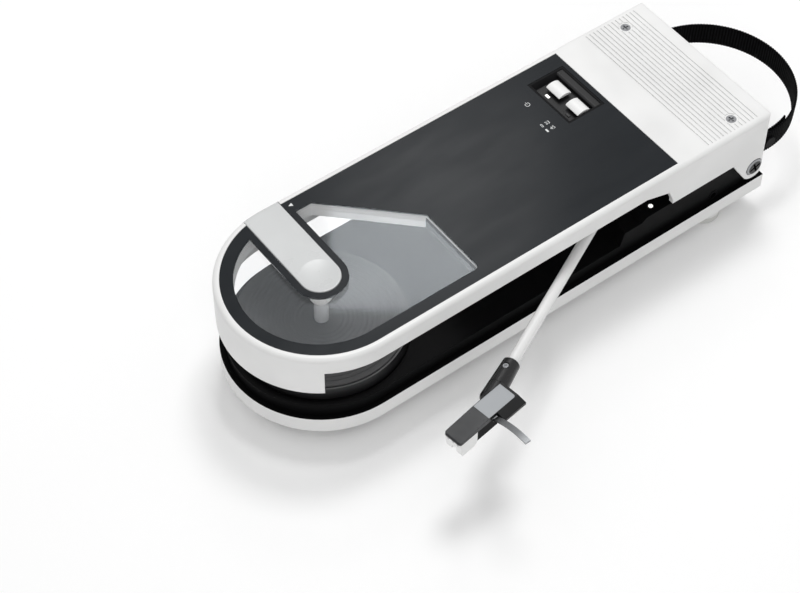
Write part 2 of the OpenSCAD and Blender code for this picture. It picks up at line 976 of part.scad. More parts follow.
// The place of the plate on the headshell's flat rear half, with one rounded corner
module head_plate_block() {
    margin = 0.2;
    rear_margin = 1.4;
    corner = 1.2;
    size = [head_len - head_step - rear_margin, head_w - 2 * margin];
    translate([head_step, -head_w / 2 + margin, head_top - head_plate_t])
        linear_extrude(head_plate_t + eps) {
            square([size[0] - corner, size[1]]);
            translate([0, corner])
                square([size[0], size[1] - corner]);
            translate([size[0] - corner, corner])
                circle(corner);
        }
}

// Head plate: a grey inlay, flush with the headshell's flat half
module head_plate() {
    color([0.6, 0.62, 0.64])
        head_frame()
            intersection() {
                head_plate_block();
                translate([-far / 2, -far / 2, 0])
                    cube([far, far, head_top]);
            }
}

// Cartridge: the black body under the headshell, behind the stylus holder
cartridge_bottom = 4.4;
module cartridge() {
    color(black)
        head_frame() {
            translate([holder_end, -head_w / 2 + 0.3, cartridge_bottom])
                cube([cartridge_end - holder_end, head_w - 0.6, head_bottom - cartridge_bottom]);
            for (y = [-3, -1, 1, 3])
                translate([cartridge_end, y, cartridge_bottom + 3])
                    rotate([0, 90, 0])
                        cylinder(d = 1, h = 2);
        }
}

// Stylus holder: a white guard with a channel for the cantilever
module stylus_holder() {
    back_wall = 2;
    slot_pitch = 3;
    slot_w = 1.2;
    slot_deep = 3;
    color("white")
        head_frame()
            difference() {
                translate([0, head_w / 2, 0])
                    rotate([90, 0, 0])
                        linear_extrude(head_w)
                            polygon([[holder_start, head_bottom], [holder_start + holder_lean, holder_bottom],
                                [holder_end - holder_cut, holder_bottom],
                                [holder_end, holder_bottom + holder_cut], [holder_end, head_bottom]]);
                for (y = [-1, 0, 1])
                    translate([0, y * slot_pitch - slot_w / 2, head_bottom - 2 * slot_w])
                        cube([holder_start + slot_deep, slot_w, slot_w]);
                translate([0, -1.5, 0])
                    cube([holder_end - back_wall, 3, cantilever_z + 1.2]);
                cantilever_rod();
            }
}

// Cantilever: a fine rod with the stylus tip at its end
cantilever_z = 4.6;
cantilever_r = 0.35;
cantilever_tip = record_t + 0.9;
module cantilever_rod() {
    run_x = holder_end - 1 - stylus_back;
    slope = atan((cantilever_z - cantilever_tip) / run_x);
    translate([stylus_back, 0, cantilever_tip])
        rotate([0, 90 - slope, 0])
            cylinder(r = cantilever_r, h = run_x / cos(slope));
}
module cantilever() {
    color(steel)
        head_frame() {
            cantilever_rod();
            translate([stylus_back + cantilever_r, 0, record_t])
                cylinder(r1 = 0.08, r2 = 0.3, h = cantilever_tip - record_t);
        }
}

// Finger lift: a thin strip on the headshell's side that arches up and out to the right
module finger_lift() {
    root = 22;
    root_z = 12.4;
    tab = [3, 1.2, 1.2];
    reach = 23;
    rise = 7.5;
    thick = 0.8;
    forward = 8;
    r = (reach * reach + rise * rise) / (2 * rise);
    color([0.45, 0.46, 0.47])
        head_frame()
            translate([root, -head_w / 2, root_z]) {
                translate([-tab[0] / 2, -tab[1], -tab[2] / 2])
                    cube(tab);
                translate([0, -tab[1] / 2, 0])
                    rotate([0, 0, -forward])
                        rotate([90, 0, -90])
                            linear_extrude(tab[0], center = true)
                                intersection() {
                                    translate([reach, rise - r])
                                        difference() {
                                            circle(r + thick / 2);
                                            circle(r - thick / 2);
                                        }
                                    square([reach, rise + thick]);
                                }
            }
}

// The lid's outside, before it is hollowed
module lid_block() {
    corner = 4;
    intersection() {
        section_sweep(lid_hw, lid_rear, -hinge_depth - lug_r - eps, lid_top, lid_edge_r);
        translate([0, 0, -far / 2])
            linear_extrude(far)
                stadium(lid_hw, lid_rear, corner);
        across(-far, far)
            lid_side();
    }
}

// Side view of the lid: skirt, rear flat, hinge lug and a rounded rear top edge
lug_front = 215.5;
rear_skirt_z = 9.2;
rear_skirt_y = 176.6;
module lid_side() {
    run_up = [lug_front - hinge_y, rear_skirt_z - hinge_z];
    touch = atan2(run_up[1], run_up[0]) + acos(lug_r / norm(run_up));
    translate([hinge_y, hinge_z])
        circle(lug_r);
    polygon([[-far, skirt_z], [rear_skirt_y, skirt_z], [rear_skirt_y, rear_skirt_z],
        [lug_front, rear_skirt_z],
        [hinge_y + lug_r * cos(touch), hinge_z + lug_r * sin(touch)], [hinge_y, hinge_z],
        [lid_rear, hinge_z], [lid_rear, lid_top - lid_edge_r], [-far, lid_top - lid_edge_r]]);
    translate([-far, skirt_z])
        square([far + lid_rear - lid_edge_r, lid_top - skirt_z]);
    translate([lid_rear - lid_edge_r, lid_top - lid_edge_r])
        circle(lid_edge_r);
}

// The outline of the window's opening, without the bridge
module window_frame(grow) {
    left = -window_hw + 0.9 - grow;
    right = window_hw + grow;
    rear = window_rear + grow;
    cut_y = 22.9;
    chamfer = 1.3;
    difference() {
        stadium(right, rear);
        polygon([[-lid_hw, 0], [left, 0], [left, cut_y], [0, rear], [0, far], [-lid_hw, far]]);
        polygon([[right - chamfer, rear + eps], [right - chamfer, rear], [right, rear - chamfer],
            [right + eps, rear - chamfer], [right + eps, rear + eps]]);
    }
}

// The same outline, with a bridge left standing in it
module window_outline(grow, bridge) {
    difference() {
        window_frame(grow);
        bridge_outline(bridge - grow);
    }
}

// The bridge's outline: from the left rim to a round end on the spindle axis
module bridge_outline(hw) {
    circle(hw);
    translate([-lid_hw - eps, -hw])
        square([lid_hw + eps, 2 * hw]);
}

// Lid shell: top plate, side walls, skirt and hinge lugs
module lid_shell() {
    boss_r = 3;
    tongue_w = 33;
    tongue_z = 12;
    rear_cut_z = plate_z - 0.6;
    groove_y0 = 199.5;
    groove_pitch = 2.45;
    step_y = -27.5;
    bay_y = 158.5;
    bay_end = [173.3, 17];
    color(white)
        difference() {
            union() {
                difference() {
                    lid_block();
                    translate([0, 0, -far])
                        linear_extrude(far + plate_z)
                            stadium(lid_in, lid_rear - lid_wall);
                    translate([-lid_in, hinge_y, -far])
                        cube([2 * lid_in, far, far + tongue_z]);
                    for (s = [0, 1])
                        mirror([s, 0, 0])
                            translate([tongue_w, hinge_y, -far])
                                cube([lid_in - tongue_w, far, far + rear_cut_z]);
                }
                for (p = cover_screws)
                    post(p[0], p[1], cover_z, plate_z + eps, boss_r);
            }
            translate([0, 0, panel_z])
                linear_extrude(far)
                    stadium(lid_hw - rim_w, panel_rear);
            translate([0, 0, plate_z - eps])
                linear_extrude(far)
                    window_outline(0, bridge_core);
            translate([-lid_hw - eps, -bar_hw - slide, panel_z])
                cube([lid_hw, 2 * (bar_hw + slide), far]);
            across(0, far)
                polygon([[step_y, -far], [step_y, lid_under], [bay_y, lid_under], bay_end,
                    [rear_skirt_y, rear_skirt_z], [rear_skirt_y, -far]]);
            bar_guide_slot();
            translate([well_x - slide / 2, well_y - slide / 2, plate_z - eps])
                cube([well_w + slide, well_len + slide, far]);
            for (i = [0 : groove_n - 1])
                translate([-lid_hw + rim_w, groove_y0 + i * groove_pitch - groove_w / 2,
                    lid_top - groove_depth])
                    cube([2 * (lid_hw - rim_w), groove_w, far]);
            for (s = [-1, 1])
                translate([s * top_screw_x, top_screw_y, lid_top - groove_depth]) {
                    cylinder(r = 3.5, h = far);
                    screw_seat(top_head_r, screw_r, top_screw_len);
                }
            for (p = cover_screws)
                post(p[0], p[1], cover_z - eps, lid_under + lid_screw_len + 0.4, lid_screw_r);
            for (s = [0, 1])
                mirror([s, 0, 0]) {
                    rod_x(lid_in - eps, far, hinge_y, hinge_z, hinge_shank_r + run);
                    rod_x(lid_hw - head_recess, far, hinge_y, hinge_z, hinge_head_d / 2 + gap);
                }
        }
}

// Lid inner cover: the underside, with a wall round the window's opening
module lid_inner_cover() {
    upstand = 1.2;
    cover_rear = hinge_y - 3.5;
    tab = [5, 1.2, 3.2];
    color(white)
        difference() {
            union() {
                translate([0, 0, lid_under])
                    linear_extrude(cover_t)
                        stadium(lid_in - cover_fit, cover_rear);
                translate([0, 0, lid_under])
                    linear_extrude(plate_z - lid_under)
                        difference() {
                            window_frame(upstand);
                            window_frame(0);
                        }
                for (s = [-1, 1])
                    post(s * top_screw_x, top_screw_y, lid_under, plate_z, 4);
            }
            difference() {
                translate([0, 0, lid_under - eps])
                    linear_extrude(plate_z - lid_under + 2 * eps)
                        window_outline(0, bridge_core);
                for (x = [8.5, 21.3])
                    translate([x, window_rear - tab[1], plate_z - tab[2]])
                        cube(tab + [0, eps, 0]);
            }
            post(0, 0, lid_under - eps, far, bush_r);
            for (p = cover_screws)
                translate([p[0], p[1], lid_under])
                    mirror([0, 0, 1])
                        screw_seat(lid_head_r, lid_screw_r, lid_screw_len);
            for (s = [-1, 1])
                translate([s * top_screw_x, top_screw_y, lid_top - groove_depth])
                    screw_seat(top_head_r, screw_r, top_screw_len);
        }
}

// Top panel: a dark glossy sheet with openings for the window, the bar and the buttons
module top_panel() {
    fit = 0.05;
    color(dark)
        translate([0, 0, panel_z])
            linear_extrude(panel_t)
                difference() {
                    stadium(lid_hw - rim_w - fit, panel_rear - fit);
                    window_outline(0, bar_hw + bridge_border);
                    bridge_outline(bar_hw + slide);
                    translate([well_x - slide / 2, well_y - slide / 2])
                        square([well_w + slide, well_len + slide]);
                }
}

// Window: a clear sheet in the panel's opening, whose lower half runs on under the bridge's border
module window() {
    fit = 0.05;
    color([0.75, 0.8, 0.85, 0.4])
        translate([0, 0, plate_z]) {
            linear_extrude(plate_t)
                window_outline(-fit, bridge_core);
            linear_extrude(plate_t + panel_t)
                window_outline(-fit, bar_hw + bridge_border);
        }
}

// Opening bar: a white slider on the bridge, with a finger dimple over the spindle
guide_x = -32;
guide_len = 13;
guide_w = 6;
guide_foot = 1.2;
bar_proud = 0.5;
module open_bar() {
    bar_top = lid_top - panel_sink + bar_proud;
    bar_low = panel_z + 0.1;
    dimple_r = 9.4;
    dimple = 0.7;
    dimple_ball = (dimple_r * dimple_r + dimple * dimple) / (2 * dimple);
    color([0.88, 0.88, 0.88]) {
        difference() {
            intersection() {
                translate([0, 0, bar_low])
                    linear_extrude(bar_top - bar_low)
                        bridge_outline(bar_hw);
                section_sweep(lid_hw, lid_rear, 0, bar_top, lid_edge_r);
            }
            translate([0, 0, bar_top - dimple + dimple_ball])
                sphere(dimple_ball, $fn = 180);
        }
        translate([guide_x, -guide_w / 2, plate_z - gap - guide_foot])
            cube([guide_len, guide_w, bar_low - plate_z + gap + guide_foot]);
        translate([guide_x, -guide_w / 2 - 1.5, plate_z - gap - guide_foot])
            cube([guide_len, guide_w + 3, guide_foot]);
    }
}

// The slot in the bridge that the bar's guide runs in
module bar_guide_slot() {
    translate([guide_x - bar_travel - slide, -guide_w / 2 - slide, plate_z - eps])
        cube([guide_len + bar_travel + 2 * slide, guide_w + 2 * slide, plate_t + 2 * eps]);
}

// Clamp bush: a flanged bush in the inner cover, under the bridge
bush_r = bridge_core - 1.8;
bush_top = lid_under + 5.2;
module clamp_bush() {
    color(dark)
        difference() {
            union() {
                post(0, 0, lid_under, bush_top, bush_r);
                post(0, 0, cover_z, cover_z + 1.2, bridge_core - 0.4);
            }
            post(0, 0, -far, far, shaft_r + run);
        }
}

// Record clamp: a white dome that turns with the disc, hollowed over the spindle's tip
module record_clamp() {
    low = spindle_len + tip_h - 0.4;
    high = lid_under - gap;
    head_r = 3.4;
    dome_r = 5.7;
    rim_r = 3.3;
    hollow_r = 2.7;
    dome_z = low + sqrt(dome_r * dome_r - rim_r * rim_r);
    color(white)
        difference() {
            union() {
                intersection() {
                    translate([0, 0, dome_z])
                        sphere(dome_r);
                    post(0, 0, low, high, dome_r + eps);
                }
                post(0, 0, dome_z, high, dome_r - 0.1);
                post(0, 0, high, bush_top + gap, shaft_r);
                post(0, 0, bush_top + gap / 2, bush_top + gap / 2 + 0.8, head_r);
            }
            post(0, 0, low - eps, low + 1, hollow_r);
        }
}

// Button well: a dark tray that the two buttons sit in
well_floor_z = panel_z - 3.2;
well_side = 1.1;
button_y = 161.7;
power_x = -32.2;
speed_x = -17.1;
stem = [5, 4];
button_hole = 0.15;
module button_well() {
    bar_r = 1.4;
    bar_len = 4.4;
    bar_drop = 0.5;
    bevel = 2;
    top = panel_z + panel_t - 0.1;
    low = well_floor_z + 1;
    in = [well_x + well_side, well_y + well_side];
    out = [well_x + well_w - well_side, well_y + well_len - well_side];
    bar_y = out[1] - bar_len + bar_r;
    color(black)
        difference() {
            union() {
                difference() {
                    block([well_x, well_y, well_floor_z], [well_x + well_w, well_y + well_len, top]);
                    intersection() {
                        across(in[0], out[0])
                            polygon([[in[1], top + eps], [in[1], top], [in[1] + bevel, low], [out[1], low],
                                [out[1], top + eps]]);
                        translate([0, out[1] + eps, 0])
                            rotate([90, 0, 0])
                                linear_extrude(out[1] - in[1] + 2 * eps)
                                    polygon([[in[0], top + eps], [in[0], top], [in[0] + bevel, low],
                                        [out[0], low], [out[0], top + eps]]);
                    }
                }
                rod_x(in[0], out[0], bar_y, top - bar_drop - bar_r, bar_r);
                block([in[0], bar_y - bar_r, well_floor_z], [out[0], out[1], top - bar_drop - bar_r]);
                block([in[0], bar_y, well_floor_z], [out[0], out[1], top - bar_drop]);
            }
            for (b = [[power_x, power_w], [speed_x, speed_w]])
                translate([b[0] + b[1] / 2, button_y + button_len / 2, well_floor_z])
                    cube([stem[0] + 2 * button_hole, stem[1] + 2 * button_hole, 10], center = true);
            for (x = lamp_xs)
                well_lamp(x, far);
        }
}

// Lamps in the well's front: one before each button
lamp_xs = [-29.5, -13.5];
lamp_row_y = 158.85;
well_lamp_size = [2.6, 1.3];
module well_lamp(x, top) {
    block([x, lamp_row_y, board_top], [x + well_lamp_size[0], lamp_row_y + well_lamp_size[1], top]);
}
module power_lamp() {
    color("white")
        well_lamp(lamp_xs[0], well_floor_z + 1.4);
}
module speed_lamp() {
    color([0.2, 0.2, 0.2])
        well_lamp(lamp_xs[1], well_floor_z + 1.4);
}

// Button board: a small board on the inner cover, with a switch under each button
board_top = cover_z + 1.2;
module button_board() {
    switch_h = well_floor_z - 0.2 - board_top;
    color([0.1, 0.35, 0.2])
        block([well_x - 1, well_y - 1, cover_z], [well_x + well_w + 1, well_y + well_len + 1, board_top]);
    color([0.15, 0.15, 0.16])
        for (b = [[power_x, power_w], [speed_x, speed_w]])
            translate([b[0] + b[1] / 2 - 3, button_y + button_len / 2 - 2.5, board_top])
                cube([6, 5, switch_h - button_travel]);
}

// A push button: a crowned cap with a stem through the well's floor
module push_button(x, w) {
    top = panel_z + panel_t + 0.4;
    crown_r = 6.2;
    cap_edge = 0.35;
    cap_low = top - crown_r + sqrt(crown_r * crown_r - button_len * button_len / 4) - cap_edge;
    color("white") {
        intersection() {
            block([x, button_y, cap_low], [x + w, button_y + button_len, top]);
            translate([x - eps, button_y + button_len / 2, top - crown_r])
                rotate([0, 90, 0])
                    cylinder(r = crown_r, h = w + 2 * eps, $fn = 180);
        }
        translate([x + w / 2 - stem[0] / 2, button_y + button_len / 2 - stem[1] / 2, well_floor_z])
            cube([stem[0], stem[1], cap_low - well_floor_z + 0.5]);
    }
}
module power_button() {
    push_button(power_x, power_w);
}
module speed_button() {
    push_button(speed_x, speed_w);
}

// Top screws: two cross-head screws in the grooved rear top
module top_screws() {
    color(steel)
        for (s = [-1, 1])
            translate([s * top_screw_x, top_screw_y, lid_top - groove_depth])
                screw(top_head_r, screw_r, top_screw_len);
}

// Lid screws: they hold the inner cover from below
module lid_screws() {
    color(steel)
        for (p = cover_screws)
            translate([p[0], p[1], lid_under])
                mirror([0, 0, 1])
                    screw(lid_head_r, lid_screw_r, lid_screw_len);
}

// Strap: webbing on edge, a half loop that droops behind the body, with each end folded in and riveted
module strap() {
    r_in = strap_r - strap_t / 2;
    r_out = strap_r + strap_t / 2;
    r_fold = r_in - strap_gap - strap_t;
    fold_angle = (strap_fold - strap_end) / r_in * 180 / PI;
    color(black)
        translate([0, strap_pivot_y, strap_z])
            rotate([-strap_droop, 0, 0])
                difference() {
                    linear_extrude(strap_w, center = true) {
                        intersection() {
                            difference() {
                                circle(r_out);
                                circle(r_in);
                            }
                            translate([-far / 2, 0])
                                square([far, far / 2]);
                        }
                        for (m = [0, 1])
                            mirror([m, 0]) {
                                for (x = [r_in, r_fold])
                                    translate([x, -strap_end])
                                        square([strap_t, strap_end]);
                                translate([r_fold, -strap_end])
                                    square([r_out - r_fold, strap_t]);
                                intersection() {
                                    difference() {
                                        circle(r_fold + strap_t);
                                        circle(r_fold);
                                    }
                                    polygon([[0, 0], [far, 0], [far, far * tan(fold_angle)]]);
                                }
                            }
                    }
                    rod_x(-far, far, 0, 0, rivet_r + run);
                }
}

bottom_shell();
feet();
bottom_screws();
chassis();
platter_bearing();
motor();
drive_belt();
battery_pack();
main_board();
line_out_socket();
charge_socket();
status_lamp();
arm_post();
hinge_screws();
hinge_washers();
strap_rivets();
platter();
platter_mat();
spindle();
motor_pulley();
arm_turret();
lift_pin();
arm_hub();
arm_tube();
head_collar();
collar_screw();
headshell();
head_plate();
cartridge();
stylus_holder();
cantilever();
finger_lift();
lid_shell();
lid_inner_cover();
top_panel();
window();
button_well();
power_lamp();
speed_lamp();
button_board();
top_screws();
lid_screws();
clamp_bush();
record_clamp();
open_bar();
power_button();
speed_button();
strap();
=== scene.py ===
"""Looks of a portable turntable: finishes, strap, soft-edged pieces, marks and a studio round its frame."""
import math

import bpy
import numpy as np
from bpy.props import FloatProperty, FloatVectorProperty, IntProperty, PointerProperty
from mathutils import Matrix, Vector


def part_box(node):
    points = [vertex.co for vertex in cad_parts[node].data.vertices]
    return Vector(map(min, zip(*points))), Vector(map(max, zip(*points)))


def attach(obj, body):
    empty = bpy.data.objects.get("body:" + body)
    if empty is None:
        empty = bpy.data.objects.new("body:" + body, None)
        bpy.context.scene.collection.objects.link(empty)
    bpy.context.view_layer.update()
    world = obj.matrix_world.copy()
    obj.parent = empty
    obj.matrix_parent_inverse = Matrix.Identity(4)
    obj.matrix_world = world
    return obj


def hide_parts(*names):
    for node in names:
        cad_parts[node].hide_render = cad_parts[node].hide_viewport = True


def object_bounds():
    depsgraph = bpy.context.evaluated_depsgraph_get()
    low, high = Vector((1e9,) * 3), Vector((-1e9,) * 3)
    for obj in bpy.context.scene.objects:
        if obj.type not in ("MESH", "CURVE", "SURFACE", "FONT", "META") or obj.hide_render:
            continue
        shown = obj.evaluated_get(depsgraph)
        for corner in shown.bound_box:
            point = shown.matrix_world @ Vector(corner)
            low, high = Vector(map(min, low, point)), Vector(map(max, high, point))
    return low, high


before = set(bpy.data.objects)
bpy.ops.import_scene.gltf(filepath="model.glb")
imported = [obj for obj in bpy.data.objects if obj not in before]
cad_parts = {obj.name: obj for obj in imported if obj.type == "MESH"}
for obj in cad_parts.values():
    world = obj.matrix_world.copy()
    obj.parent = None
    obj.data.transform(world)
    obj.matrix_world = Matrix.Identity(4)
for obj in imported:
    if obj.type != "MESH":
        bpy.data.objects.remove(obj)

bl_info = {
    "name": "Portable turntable",
    "version": (1, 0, 0),
    "blender": (4, 5, 0),
    "location": "3D View > Sidebar > Turntable",
    "description": "Dresses the packed frame of a portable turntable",
    "category": "Object",
}

CAD_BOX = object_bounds()
MM = 0.001


def box_mm(name):
    """Lowest and highest corner of a CAD node, in millimetres."""
    return [np.array(corner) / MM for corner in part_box(name)]


# Sizes, colours and stage values


def size(name, default, description):
    """A length in millimetres."""
    return FloatProperty(name=name, default=default, description=description)


def colour(name, default, description):
    """A linear colour."""
    return FloatVectorProperty(name=name, default=default, subtype="COLOR", size=3, min=0, max=1,
                               description=description)


class TurntableSizes(bpy.types.PropertyGroup):
    """Sizes of the pieces that are made here, in millimetres."""
    strap_width: size("Strap width", 13.2, "Width of the webbing")
    strap_thick: size("Strap thickness", 1.5, "Thickness of the webbing over its ribs")
    strap_end: size("Strap end", 4.0, "Reach of the webbing past its rivets")
    strap_fold: size("Strap fold", 19.0, "Length of webbing that is folded in at each end")
    strap_gap: size("Strap gap", 0.2, "Gap between a folded end and the loop")
    strap_rib: size("Strap rib", 1.6, "Distance between two ribs of the webbing")
    strap_thread: size("Strap thread", 0.55, "Distance between two threads along the webbing")
    rib_height: size("Rib height", 0.3, "Height of a rib of the webbing")
    rib_notch: size("Rib notch", 0.3, "Depth of the notches between the ribs' ends")
    strap_droop: FloatProperty(name="Strap droop", default=math.radians(3), subtype="ANGLE",
                               description="Angle by which the loop hangs below the level")
    mat_rings: IntProperty(name="Mat rings", default=13, min=1, description="Number of ridges on the mat")
    mat_groove: size("Mat groove", 0.3, "Depth of the grooves between the mat's ridges")
    mat_fit: size("Mat fit", 0.1, "Gap between the mat and the spindle")
    mat_inner: size("Mat inner land", 5.0, "Width of the plain ring round the spindle")
    mat_outer: size("Mat outer land", 2.5, "Width of the plain ring inside the mat's rim")
    mat_edge: size("Mat edge", 0.3, "Radius along the mat's upper edge")
    bar_edge: size("Bar edge", 0.5, "Radius along the opening bar's top edge")
    bar_fit: size("Bar fit", 0.1, "Height of the opening bar's underside over the panel's")
    dimple_r: size("Dimple radius", 9.4, "Radius of the finger dimple in the opening bar")
    dimple: size("Dimple depth", 0.7, "Depth of the finger dimple")
    lid_edge: size("Lid edge", 2.4, "Radius along the lid's top edge, which the bar's end follows")
    button_corner: size("Button corner", 0.3, "Radius of a push button's corners in plan")
    button_foot: size("Button foot", 0.05, "Radius along a push button's lower edges")
    button_edge: size("Button edge", 0.15, "Radius along a push button's upper edges")
    button_rim: size("Button rim", 0.35, "Height of a push button's cap at its lowest edge")
    button_crown: size("Button crown", 6.2, "Radius of a push button's crowned face")
    ink: size("Ink", 0.03, "Thickness of a printed mark")
    edge_soft: size("Edge softness", 0.25, "Radius to which sharp moulded edges are shaded")


class TurntableColours(bpy.types.PropertyGroup):
    """Colours of the finishes."""
    white: colour("White", (0.78, 0.78, 0.775), "Moulded white of the lid and the tray")
    bar: colour("Bar", (0.58, 0.59, 0.59), "Cooler white of the opening bar")
    black: colour("Black", (0.006, 0.006, 0.0065), "Black plastic of the chassis")
    panel: colour("Panel", (0.0055, 0.0078, 0.0105), "Glossy sheet on the lid")
    window: colour("Window", (0.80, 0.85, 0.89), "Tint of the light that the clear sheet reflects")
    rubber: colour("Rubber", (0.02, 0.02, 0.021), "Rubber of the mat and the belt")
    foot: colour("Foot", (0.62, 0.62, 0.6), "Pale soft feet")
    head: colour("Head", (0.025, 0.026, 0.028), "Dark grey of the headshell")
    plate: colour("Plate", (0.27, 0.285, 0.30), "Grey plate on the headshell")
    lift: colour("Lift", (0.17, 0.175, 0.18), "Metal of the finger lift")
    steel: colour("Steel", (0.30, 0.305, 0.315), "Dark plated steel of screws and pins")
    chrome: colour("Chrome", (0.80, 0.81, 0.83), "Bright plating of the spindle")
    brass: colour("Brass", (0.52, 0.36, 0.13), "Brass of the bearing and the pulley")
    webbing: colour("Webbing", (0.0045, 0.0045, 0.005), "Black webbing of the strap")
    board: colour("Board", (0.01, 0.07, 0.03), "Green circuit boards")
    wrap: colour("Wrap", (0.02, 0.05, 0.12), "Film round the battery")
    lining: colour("Lining", (0.05, 0.052, 0.056), "Dark lining behind the window")
    lamp: colour("Lamp", (1.0, 0.99, 0.96), "Lit lamps")
    unlit: colour("Unlit lamp", (0.012, 0.012, 0.013), "Lens of the lamp that is off")
    ink: colour("Ink", (0.72, 0.73, 0.73), "Printed marks")


class TurntableStage(bpy.types.PropertyGroup):
    """Camera, lights and floor."""
    target: FloatVectorProperty(name="Target", default=(0.012712, 0.036301, 0.0018), subtype="TRANSLATION",
                                description="Point that the camera looks at")
    distance: FloatProperty(name="Distance", default=1.0278, unit="LENGTH",
                            description="Distance from the camera to that point")
    azimuth: FloatProperty(name="Azimuth", default=math.radians(53.112), subtype="ANGLE",
                           description="Direction of the camera round the object")
    elevation: FloatProperty(name="Elevation", default=math.radians(51.35), subtype="ANGLE",
                             description="Height of the camera as an angle")
    roll: FloatProperty(name="Roll", default=math.radians(0.16), subtype="ANGLE",
                        description="Roll of the camera")
    sensor: FloatProperty(name="Sensor", default=36, description="Width of the sensor in millimetres")
    lens: FloatProperty(name="Lens", default=96.78, description="Focal length in millimetres")
    shift: FloatVectorProperty(name="Shift", default=(0.0015, -0.001), size=2,
                               description="Shift of the lens")
    key: FloatProperty(name="Key", default=8.2, unit="POWER", description="Power of the light overhead")
    fill: FloatProperty(name="Fill", default=4.0, unit="POWER", description="Power of the light at the front")
    card: FloatProperty(name="Card", default=0.55, unit="POWER",
                        description="Power of the soft light that the glossy panel mirrors")
    sky: FloatProperty(name="Sky", default=0.83, description="Strength of the light from straight above")
    horizon: FloatProperty(name="Horizon", default=0.15, description="Strength of the light from the sides")
    floor: colour("Floor", (0.985, 0.985, 0.985), "Pale floor")
    floor_side: FloatProperty(name="Floor side", default=8.0, unit="LENGTH", description="Side of the floor")


# Surfaces


def grid_faces(rows, cols, wrap_rows=False, wrap_cols=False):
    """Quads between neighbouring points of a grid; they face outwards where the rows go up and the columns
    go counter-clockwise."""
    a, b = np.meshgrid(np.arange(rows if wrap_rows else rows - 1),
                       np.arange(cols if wrap_cols else cols - 1), indexing="ij")
    up, on = (a + 1) % rows, (b + 1) % cols
    quads = np.stack([a * cols + b, a * cols + on, up * cols + on, up * cols + b], -1)
    return quads.reshape(-1, 4).tolist()


def closed_rings(points, normals=None):
    """Points, faces and normals of a stack of closed rings; a fan to its middle closes each end ring."""
    rows, cols = points.shape[:2]
    faces = grid_faces(rows, cols, wrap_cols=True)
    ring = np.arange(cols)
    on = np.roll(ring, -1)
    last, middle = (rows - 1) * cols, rows * cols
    faces += np.stack([on, ring, np.full(cols, middle)], 1).tolist()
    faces += np.stack([last + ring, last + on, np.full(cols, middle + 1)], 1).tolist()
    middles = points.mean(1)
    if normals is not None:
        ends = middles[[0, -1]] - middles[[1, -2]]
        ends /= np.linalg.norm(ends, axis=1, keepdims=True)
        normals = np.concatenate([normals.reshape(-1, 3), ends])
    return np.concatenate([points.reshape(-1, 3), middles[[0, -1]]]), faces, normals


def grid_normals(points):
    """Unit normals of a grid whose columns are closed, from the steps to its neighbours."""
    along = np.roll(points, -1, 1) - np.roll(points, 1, 1)
    out = np.cross(along, np.gradient(points, axis=0))
    return out / np.maximum(np.linalg.norm(out, axis=-1, keepdims=True), 1e-9)


def rounded_polygon(corners, radii, steps=8):
    """Outline of a convex polygon, counter-clockwise: each corner is an arc that touches both its sides.
    Gives the points and the outward direction at each."""
    corners = np.asarray(corners, float)
    before = corners - np.roll(corners, 1, 0)
    before /= np.linalg.norm(before, axis=1, keepdims=True)
    after = np.roll(before, -1, 0)
    turn = np.arctan2(before[:, 0] * after[:, 1] - before[:, 1] * after[:, 0],
                      (before * after).sum(1))
    start = np.arctan2(-before[:, 0], before[:, 1])
    angle = start[:, None] + turn[:, None] * np.linspace(0, 1, steps)
    outward = np.stack([np.cos(angle), np.sin(angle)], -1)
    radii = np.broadcast_to(radii, len(corners))[:, None]
    side = np.stack([before[:, 1], -before[:, 0]], -1)
    middle = corners - before * radii * np.tan(turn / 2)[:, None] - side * radii
    return (middle[:, None] + radii[..., None] * outward).reshape(-1, 2), outward.reshape(-1, 2)


def line_run(line):
    """Distance along a line of points, from its first point to each."""
    return np.concatenate([[0], np.cumsum(np.linalg.norm(np.diff(line, axis=0), axis=1))])


def dense(outline, outward, step):
    """The same closed outline and directions, with more points along its sides, at most a step apart."""
    ring = np.hstack([outline, outward])
    ring = np.concatenate([ring, ring[:1]])
    run = line_run(ring[:, :2])
    at = np.union1d(run[:-1], np.arange(0, run[-1], step))
    ring = np.stack([np.interp(at, run, column) for column in ring.T], 1)
    return ring[:, :2], ring[:, 2:]


def slab(outline, outward, inset, height):
    """A stack of copies of an outline, each moved in by an inset and set at a height."""
    plan = outline - inset[:, None, None] * outward
    return np.dstack([plan, np.broadcast_to(height[:, None], plan.shape[:2])])


def round_edges(low, high, low_r, high_r, steps=6):
    """Insets and heights of a slab's rings, with quarter circles along its lower and upper edges."""
    a = np.radians(np.linspace(0, 90, steps))
    inset = np.concatenate([low_r * (1 - np.sin(a)), high_r * (1 - np.cos(a))])
    height = np.concatenate([low + low_r * (1 - np.cos(a)), high - high_r * (1 - np.sin(a))])
    return inset, height


def vertices(mesh):
    """Places of a mesh's vertices, one to a row."""
    flat = np.empty(3 * len(mesh.vertices))
    mesh.vertices.foreach_get("co", flat)
    return flat.reshape(-1, 3)


